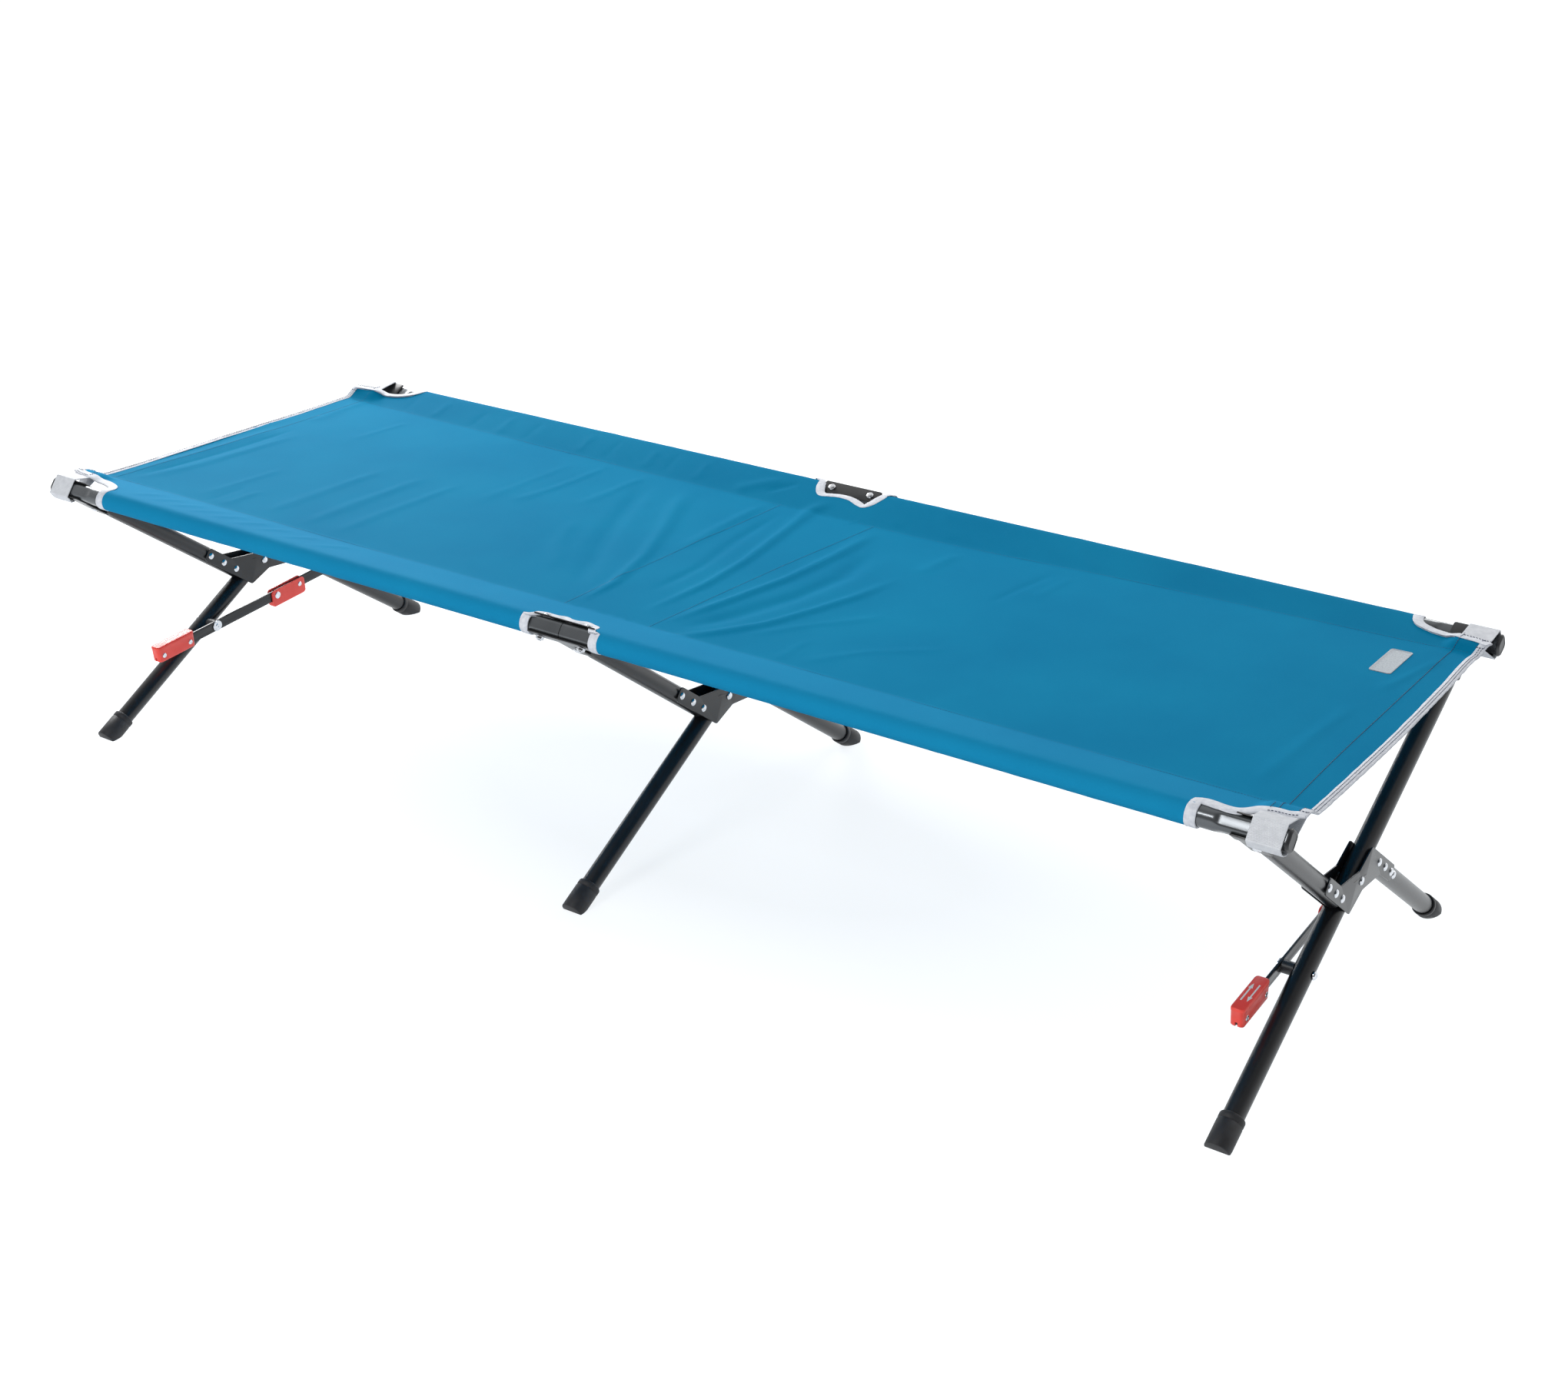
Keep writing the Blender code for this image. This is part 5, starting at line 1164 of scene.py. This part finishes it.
# warp and weft at 1.3 mm, coarser than the real 0.5 mm so that it stays visible
threads = [waves(tree, place, axis, 0.0013) for axis in ("X", "Y")]
weave = addNode(tree, "ShaderNodeMath", {"operation": "MULTIPLY"},
                links={0: threads[0].outputs["Value"], 1: threads[1].outputs["Value"]})
emboss(tree, shader, weave.outputs["Value"], 0.00012, 0.30)

sheet = addPiece("clothSheet", bm, blueCloth, None, ["canvas"], sharp=80, weld=0, ride=False)
thicken = sheet.modifiers.new("thickness", "SOLIDIFY")
thicken.thickness = cloth["thick"]
thicken.offset = 0.0
useModifiers(sheet, 60)
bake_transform(sheet)
print("stage: cloth sheet")


# bound edges, hems, seams and the patch, all on the cloth

# pale grey tape, finely ribbed across its run: matt, slightly dirty white
greyTape, tree, shader = startMaterial("greyBindingTape", "dfe1e8", 0.75, Sheen_Weight=0.1)
mottle(tree, shader, "d2d5dd", "e9ebf0", 220.0)
grain(tree, shader, 700.0, 0.00015, 0.5, 1.0)

# spun polyester threads: dyed navy on the hems, blue on the seams
navyThread, tree, shader = startMaterial("navyThread", "16284c", 0.6)
mottle(tree, shader, "122242", "1d3258", 400.0)
blueThread, tree, shader = startMaterial("blueThread", "0a648f", 0.6)
mottle(tree, shader, "085a82", "0d6c98", 400.0)

tape = {"width": 0.0118, "lift": 0.0007, "hemWidth": 0.0095, "skin": 0.00065, "ripple": 0.0011}


def blendPiece(name, bm, material, sharp=50):
    piece = addPiece(name, bm, material, None, sharp=sharp, ride=False)
    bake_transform(piece)
    return piece


def tapeAround(bm, path, aways, ups, width, outMargin=0.0009):
    # a tape folded over the cloth's edge: path on the edge, aways out of the cloth, ups off its face
    rings = []
    inner, skin = tape["skin"], tape["lift"] + 0.0006
    for i, (p, out, up) in enumerate(zip(path, aways, ups)):
        w = width + 0.0004 * noise.noise(p * 60.0)
        edge = outMargin + tape["ripple"] * (0.5 + noise.noise(p * 95.0))
        puff = skin + 0.0004 * noise.noise(p * 140.0)
        outside = [(-w, skin * 0.72), (-w + 0.0006, skin), (-w * 0.5, puff), (-0.0004, puff),
                   (edge * 0.75, skin * 0.7), (edge, 0.0), (edge * 0.75, -skin * 0.7), (-0.0004, -skin),
                   (-w * 0.5, -skin), (-w + 0.0006, -skin), (-w, -skin * 0.72)]
        ring = outside + [(-w, -inner), (-0.0002, -inner), (0.0001, 0.0), (-0.0002, inner), (-w, inner)]
        rings.append([bm.verts.new(p + out * a + up * b) for a, b in ring])
    loft(bm, rings)


def normalAt(x, y):
    e = 0.004
    dx = (clothHeight(x + e, y) - clothHeight(x - e, y)) / (2 * e)
    dy = (clothHeight(x, y + e) - clothHeight(x, y - e)) / (2 * e)
    return Vector((-dx, -dy, 1)).normalized()


def ringPath(x, side, reverse=False):
    points, ups = [], []
    for i, (depth, height) in enumerate(sleeveSection(x)):
        points.append(Vector((x, side * (cloth["railTop"] - depth), bed["railZ"] + height)))
        ups.append(Vector((0, 0, -1)) if i < 3 else Vector((0, -side * depth, height)).normalized())
    if reverse:
        points, ups = points[::-1], ups[::-1]
    return points, ups


def edgeLine(points, signX, side):
    # smooth run of a cut-out's edge from samples of depth along x
    first, last = points[0][0], points[-1][0]
    out = []
    for k in range(241):
        x = first + (last - first) * k / 240
        spot = Vector((signX * x, side * along(points, x), 0))
        if not out or (spot - out[-1]).length > 0.0028 or k == 240:
            out.append(spot)
    for spot in out:
        spot.z = clothHeight(spot.x, spot.y)
    return out


def eased(vectors, rounds):  # evens out directions along a run
    for _ in range(rounds):
        inner = [(a + 2 * b + c).normalized() for a, b, c in zip(vectors, vectors[1:], vectors[2:])]
        vectors = [vectors[0]] + inner + [vectors[-1]]
    return vectors


def edgeWays(edge, start, stop, way):
    # ways out of the cloth and off its face along an edge that runs between start and stop
    aways, ups, spots = [], [], [start] + edge + [stop]
    for before, here, after in zip(spots, spots[1:], spots[2:]):
        out = (after - before).normalized().cross(Vector((0, 0, 1))) * way
        aways.append((out - Vector((0, 0, out.z))).normalized())
        ups.append(normalAt(here.x, here.y))
    return aways, ups


for side in (-1, 1):
    for sign in (-1, 1):
        ring, ups = ringPath(sign * cloth["sleeveEnd"], side)
        edge = edgeLine(cutOuts[rowAt[side], endAt[sign]], sign, side)[1:]
        edgeAways, edgeUps = edgeWays(edge, ring[-1], edge[-1], -side * sign)
        aways = [Vector((sign, 0, 0))] * len(ring) + edgeAways
        bm = bmesh.new()
        tapeAround(bm, ring + edge, eased(aways, 6), eased(ups + edgeUps, 2), tape["width"])
        blendPiece(f"cornerBinding_{rowAt[side]}_{endAt[sign]}", bm, greyTape)
    half = cloth["openings"][rowAt[side]]
    first, firstUps = ringPath(-half, side)
    last, lastUps = ringPath(half, side, True)
    inner = edgeLine(openings[rowAt[side]], 1, side)[1:-1]
    edgeAways, edgeUps = edgeWays(inner, first[-1], last[0], side)
    aways = [Vector((1, 0, 0))] * len(first) + edgeAways + [Vector((-1, 0, 0))] * len(last)
    bm = bmesh.new()
    tapeAround(bm, first + inner + last, eased(aways, 6), eased(firstUps + edgeUps + lastUps, 2), tape["width"])
    blendPiece(f"openingBinding_{rowAt[side]}", bm, greyTape)

for name, sign in ends.items():
    low, high = -edgeY(sign * cloth["end"], -1) + 0.0005, edgeY(sign * cloth["end"], 1) - 0.0005
    path = []
    for k in range(121):
        y = low + (high - low) * k / 120
        x = hemPulled(sign * cloth["end"], y)
        path.append(Vector((x, y, clothHeight(x, y))))
    bm = bmesh.new()
    tapeAround(bm, path, [Vector((sign, 0, 0))] * len(path), [normalAt(p.x, p.y) for p in path],
               tape["hemWidth"], 0.0012)
    blendPiece(f"hemTape_{name}", bm, greyTape)


def sewLine(points, lift):
    return [Vector((hemPulled(x, y), y, clothHeight(hemPulled(x, y), y) + lift)) for x, y in points]


onCloth = cloth["thick"] / 2 + 0.0002
onTape = tape["lift"] + 0.0006 + 0.0002
hemLines, seamLines = [], []
hemSeam = [(-0.300, 0.9195), (-0.250, 0.9160), (-0.080, 0.9100), (0.120, 0.9095), (0.260, 0.9115),
           (0.300, 0.9110)]
for sign in (-1, 1):
    for x in (0.9425, 0.9462):
        hemLines.append(sewLine([(sign * x, -0.270 + 0.540 * k / 130) for k in range(131)], onTape))
    crossing = [(sign * along(hemSeam, y), y) for y in (-0.296 + 0.588 * k / 130 for k in range(131))]
    (hemLines if sign > 0 else seamLines).append(sewLine(crossing, onCloth))
    for side in (-1, 1):
        box = ((0.9385, 0.2700), (0.9480, 0.2700), (0.9480, 0.2870), (0.9385, 0.2870), (0.9385, 0.2700))
        hemLines.append(sewLine([(sign * x, side * y) for x, y in box], onTape + 0.0003))
        hemLines.append(sewLine([(sign * x, side * (along(cutOuts[rowAt[side], endAt[sign]], x) - 0.0012))
                                 for x in (0.9130 + 0.0028 * k for k in range(11))], onTape + 0.0002))
        hemLines.append(sewLine([(sign * 0.9110, side * y) for y in (0.2840, 0.2880, 0.2920, 0.2955)],
                                onTape + 0.0002))
for side in (-1, 1):  # seams of the sleeves
    for low, high in ((-0.930, -0.062), (0.062, 0.930)):
        places = [low + (high - low) * k / 180 for k in range(181)]
        seamLines.append(sewLine([(x, side * along(seamY, x)) for x in places], onCloth))
for crossSeam in ([(-0.2515, -0.0685), (0.0390, -0.0741), (0.2430, -0.0717)],
                  [(-0.2515, 0.0664), (0.0390, 0.0728), (0.2430, 0.0871)]):
    places = [-0.2430 + 0.486 * k / 110 for k in range(111)]
    seamLines.append(sewLine([(along(crossSeam, y), y) for y in places], onCloth))
for name, lines, thread, thick in (("hemStitches", hemLines, navyThread, 0.0010),
                                   ("seamStitches", seamLines, blueThread, 0.0006)):
    piece = repeatPiece(name, stitchTree, {"Pitch": 0.0036, "Length": 0.0029, "Thread": thick}, thread, None,
                        lines=lines, ride=False)
    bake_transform(piece)

# woven label, left bare, with a raised border
silverPatch, tree, shader = startMaterial("silverWovenLabel", "8f9aa2", 0.5, Sheen_Weight=0.05)
mottle(tree, shader, "7f8a93", "9fa9b1", 500.0)
patch = {"centre": (0.8597, 0.1862), "half": (0.0138, 0.0396), "corner": 0.0045}
bm = bmesh.new()
rings = []
for inset, lift in ((0.0, 0.0), (0.0, 0.0006), (0.0004, 0.0008), (0.0016, 0.0008), (0.0019, 0.0006),
                    (0.0060, 0.0006)):
    w, l = patch["half"][0] - inset, patch["half"][1] - inset
    loop = softCorners([(-w, -l), (w, -l), (w, l), (-w, l)], max(0.001, patch["corner"] - inset), 6)
    dense = []
    for (x0, y0), (x1, y1) in zip(loop, loop[1:] + loop[:1]):
        dense += [(x0 + (x1 - x0) * k / 8, y0 + (y1 - y0) * k / 8) for k in range(8)]
    ring = []
    for x, y in dense:
        px, py = patch["centre"][0] + x, patch["centre"][1] + y
        ring.append(bm.verts.new((px, py, clothHeight(px, py) + cloth["thick"] / 2 + lift)))
    rings.append(ring)
loft(bm, rings)
blendPiece("wovenLabel", bm, silverPatch)


# webbing straps at the corners

# pale webbing with a rib every 1.5 mm across its run
greyWebbing, tree, shader = startMaterial("greyRibbedWebbing", "dfe1e6", 0.7, Sheen_Weight=0.1)
mottle(tree, shader, "dcdee3", "eceef2", 120.0)
place = addNode(tree, "ShaderNodeUVMap", {"uv_map": "run"})
emboss(tree, shader, waves(tree, place, "X", 0.0015).outputs["Value"], 0.00025, 0.7)

strap = {"start": 0.9060, "end": 0.9445, "thick": 0.0014, "ease": 0.0006, "corner": 0.052, "clear": 0.9178,
         "tuck": 0.0035}


def strapPath(turn):
    p, half = pressing, pressing["half"]
    tip = p["far"] + bed["gap"] + p["rivetRise"]
    near = p["boltHead"] * 0.4
    corners = [(half, p["far"]), (near, tip), (-near, tip), (-half, p["far"]), (-half, -p["far"]),
               (-near, -tip), (near, -tip), (half, -p["far"])]
    support = [Vector((u * cos(turn) + n * sin(turn), n * cos(turn) - u * sin(turn))) for u, n in corners]
    corner = Vector((strap["corner"] - bed["gap"], cloth["radius"] - strap["tuck"]))

    def slope(end):
        return (end.y - corner.y) / (corner.x - end.x)

    while slope(support[1]) > slope(support[0]):
        support = support[1:]
    points = [corner] + support + [corner - Vector((0.0, strap["thick"] + bed["gap"]))]
    stand = strap["ease"] + strap["thick"] / 2
    path = [points[0]]
    for before, here, after in zip(points, points[1:], points[2:]):
        first, second = (here - before).normalized(), (after - here).normalized()
        for k in range(5):
            run = first.lerp(second, k / 4).normalized()
            spot = here + Vector((run.y, -run.x)) * stand
            if (spot - path[-1]).length > 0.0003:
                path.append(spot)
    path.append(points[-1])
    dense = []
    for a, b in zip(path, path[1:]):
        count = max(1, round((b - a).length / 0.0025))
        dense += [a.lerp(b, k / count) for k in range(count)]
    return dense + [path[-1]]


for row, (place, turn) in {"back": (1, slopeA), "front": (-1, slopeB)}.items():
    path = strapPath(turn)
    for name, sign in ends.items():
        bm = bmesh.new()
        uv = bm.loops.layers.uv.new("run")
        rings, runs, spent = [], [], 0.0
        outermost = min(range(len(path)), key=lambda i: path[i].x)
        for i, p in enumerate(path):
            before, after = path[max(i - 1, 0)], path[min(i + 1, len(path) - 1)]
            way = (after - before).normalized()
            normal = Vector((-way.y, way.x))
            if i in (0, len(path) - 1):
                normal = Vector((0.0, -1.0 if i == 0 else 1.0))
            spent += (p - before).length
            drawn = ease((p.x + 0.012) / 0.012) if i > outermost else 0.0  # gathered clear of the fork's stem
            lowX = strap["start"] + (strap["clear"] - strap["start"]) * drawn
            ring = []
            half = strap["thick"] / 2
            count = 14
            outline = [(lowX, 0.0), (lowX + 0.0004, half)]
            outline += [(lowX + 0.0004 + (strap["end"] - lowX - 0.0008) * k / count, half)
                        for k in range(1, count)]
            outline += [(strap["end"] - 0.0004, half), (strap["end"], 0.0), (strap["end"] - 0.0004, -half)]
            outline += [(strap["end"] - 0.0004 - (strap["end"] - lowX - 0.0008) * k / count, -half)
                        for k in range(1, count)]
            outline += [(lowX + 0.0004, -half)]
            for x, off in outline:
                q = p + normal * off
                ring.append(bm.verts.new((sign * x, place * (bed["railY"] - q.x), bed["railZ"] + q.y)))
            rings.append(ring)
            runs.append(spent)
        for i, (first, second) in enumerate(zip(rings, rings[1:])):
            for j in range(len(first)):
                k = (j + 1) % len(first)
                face = bm.faces.new((first[j], first[k], second[k], second[j]))
                for loop, run in zip(face.loops, (runs[i], runs[i], runs[i + 1], runs[i + 1])):
                    loop[uv].uv = (run, loop.vert.co.x)
        bm.faces.new(rings[0])
        bm.faces.new(rings[-1])
        addPiece(f"cornerStrap_{row}_{name}", bm, greyWebbing, rowBody[row], [f"{row}_strap_{name}"],
                 sharp=60, weld=0)
print("stage: tapes, stitches and straps")


# camera, floor and light

bpy.context.view_layer.update()
lens = bpy.data.cameras.new("studioLens")
lens.sensor_width = 36.0
lens.lens = 51.41
lens.shift_x = -0.00338
lens.shift_y = -0.01876
camera = bpy.data.objects.new("studioCamera", lens)
bpy.context.scene.collection.objects.link(camera)
rightWay = Vector((0.823977, 0.566418, 0.015244))
upWay = Vector((-0.231206, 0.311535, 0.921678))
ahead = Vector((-0.517306, 0.762965, -0.387657))
eye = Matrix.Translation((1.65791, -2.27821, 1.41531))
camera.matrix_world = eye @ Matrix((rightWay, upWay, -ahead)).transposed().to_4x4()
bpy.context.scene.camera = camera


def either(tree, first, second):
    return addNode(tree, "ShaderNodeMath", {"operation": "MAXIMUM"}, links={0: first, 1: second})


floorMesh = bpy.data.meshes.new("studioFloor")
floorMesh.from_pydata([(-30, -30, 0), (30, -30, 0), (30, 30, 0), (-30, 30, 0)], [], [(0, 1, 2, 3)])
floor = bpy.data.objects.new("studioFloor", floorMesh)
bpy.context.scene.collection.objects.link(floor)
# white to the eye, its shadows kept faint, and its glow weaker in an oval round the bed: a painted shadow under
# the bed
floorPaint, tree, shader = startMaterial("paleStudioFloor", "f4f6f8", 0.9)
path = addNode(tree, "ShaderNodeLightPath")
shown = either(tree, path.outputs["Is Camera Ray"], path.outputs["Is Glossy Ray"])
shown = either(tree, shown.outputs["Value"], path.outputs["Is Transmission Ray"])
share = addNode(tree, "ShaderNodeMath", {"operation": "MULTIPLY"}, {1: 0.70}, {0: shown.outputs["Value"]})
place = addNode(tree, "ShaderNodeTexCoord")
# glow strength rises from the bed outwards: a painted shadow under the bed
paintedShadowOval = addNode(tree, "ShaderNodeVectorMath", {"operation": "MULTIPLY"}, {1: (0.9, 2.0, 0.0)},
               {0: place.outputs["Object"]})
away = addNode(tree, "ShaderNodeVectorMath", {"operation": "LENGTH"}, links={0: paintedShadowOval.outputs["Vector"]})
bright = addNode(tree, "ShaderNodeMapRange", links={"Value": away.outputs["Value"]},
                 values={"From Min": 0.35, "From Max": 1.05, "To Min": 1.10, "To Max": 1.46})
glow = addNode(tree, "ShaderNodeEmission", values={"Color": linear("fafdff")},
               links={"Strength": bright.outputs["Result"]})
mix = addNode(tree, "ShaderNodeMixShader", links={0: share.outputs["Value"], 1: shader.outputs["BSDF"],
                                                  2: glow.outputs["Emission"]})
tree.links.new(mix.outputs["Shader"], tree.nodes["Material Output"].inputs["Surface"])
floorMesh.materials.append(floorPaint)

world = bpy.data.worlds.new("whiteStudio")
bpy.context.scene.world = world
world.use_nodes = True
tree = world.node_tree
tree.nodes.clear()
path = addNode(tree, "ShaderNodeLightPath")
shown = either(tree, path.outputs["Is Glossy Ray"], path.outputs["Is Transmission Ray"])
way = addNode(tree, "ShaderNodeTexCoord")
front = addNode(tree, "ShaderNodeVectorMath", {"operation": "DOT_PRODUCT"}, {1: (0.42, -0.80, 0.43)},
                {0: way.outputs["Generated"]})
dim = addNode(tree, "ShaderNodeMapRange", links={"Value": front.outputs["Value"]},
              values={"From Min": 0.15, "From Max": 0.75, "To Min": 1.0, "To Max": 0.10})
mirrored = addNode(tree, "ShaderNodeBackground", values={"Color": (1, 1, 1, 1)},
                   links={"Strength": dim.outputs["Result"]})
soft = addNode(tree, "ShaderNodeBackground", values={"Color": linear("f4f8fc"), "Strength": 0.40})
seen = addNode(tree, "ShaderNodeBackground", values={"Color": (1, 1, 1, 1), "Strength": 1.0})
lit = addNode(tree, "ShaderNodeMixShader", links={0: shown.outputs["Value"], 1: soft.outputs["Background"],
                                                  2: mirrored.outputs["Background"]})
mix = addNode(tree, "ShaderNodeMixShader", links={0: path.outputs["Is Camera Ray"], 1: lit.outputs["Shader"],
                                                  2: seen.outputs["Background"]})
addNode(tree, "ShaderNodeOutputWorld", links={"Surface": mix.outputs["Shader"]})


def softbox(name, place, aim, size, power, colour="ffffff"):
    lamp = bpy.data.lights.new(name, "AREA")
    lamp.shape = "RECTANGLE"
    lamp.size, lamp.size_y = size
    lamp.energy = power
    lamp.color = linear(colour, False)
    light = bpy.data.objects.new(name, lamp)
    light.location = place
    light.rotation_euler = (Vector(aim) - Vector(place)).to_track_quat("-Z", "Y").to_euler()
    bpy.context.scene.collection.objects.link(light)
    return light


softbox("keySoftbox", (-0.10, -2.35, 2.35), (0.1, 0, 0.35), (0.9, 0.55), 24)
softbox("leftBackSoftbox", (-2.45, 1.15, 1.35), (-0.5, 0, 0.38), (1.6, 1.0), 64)
softbox("backSoftbox", (0.3, 2.6, 1.7), (0.1, 0, 0.38), (2.6, 0.9), 38)
fill = softbox("frontFill", (0.5, -3.1, 0.80), (0.3, 0, 0.25), (3.0, 0.9), 18)
fill.visible_glossy = False

bpy.context.scene.view_settings.view_transform = "Standard"
print("stage: camera and light")
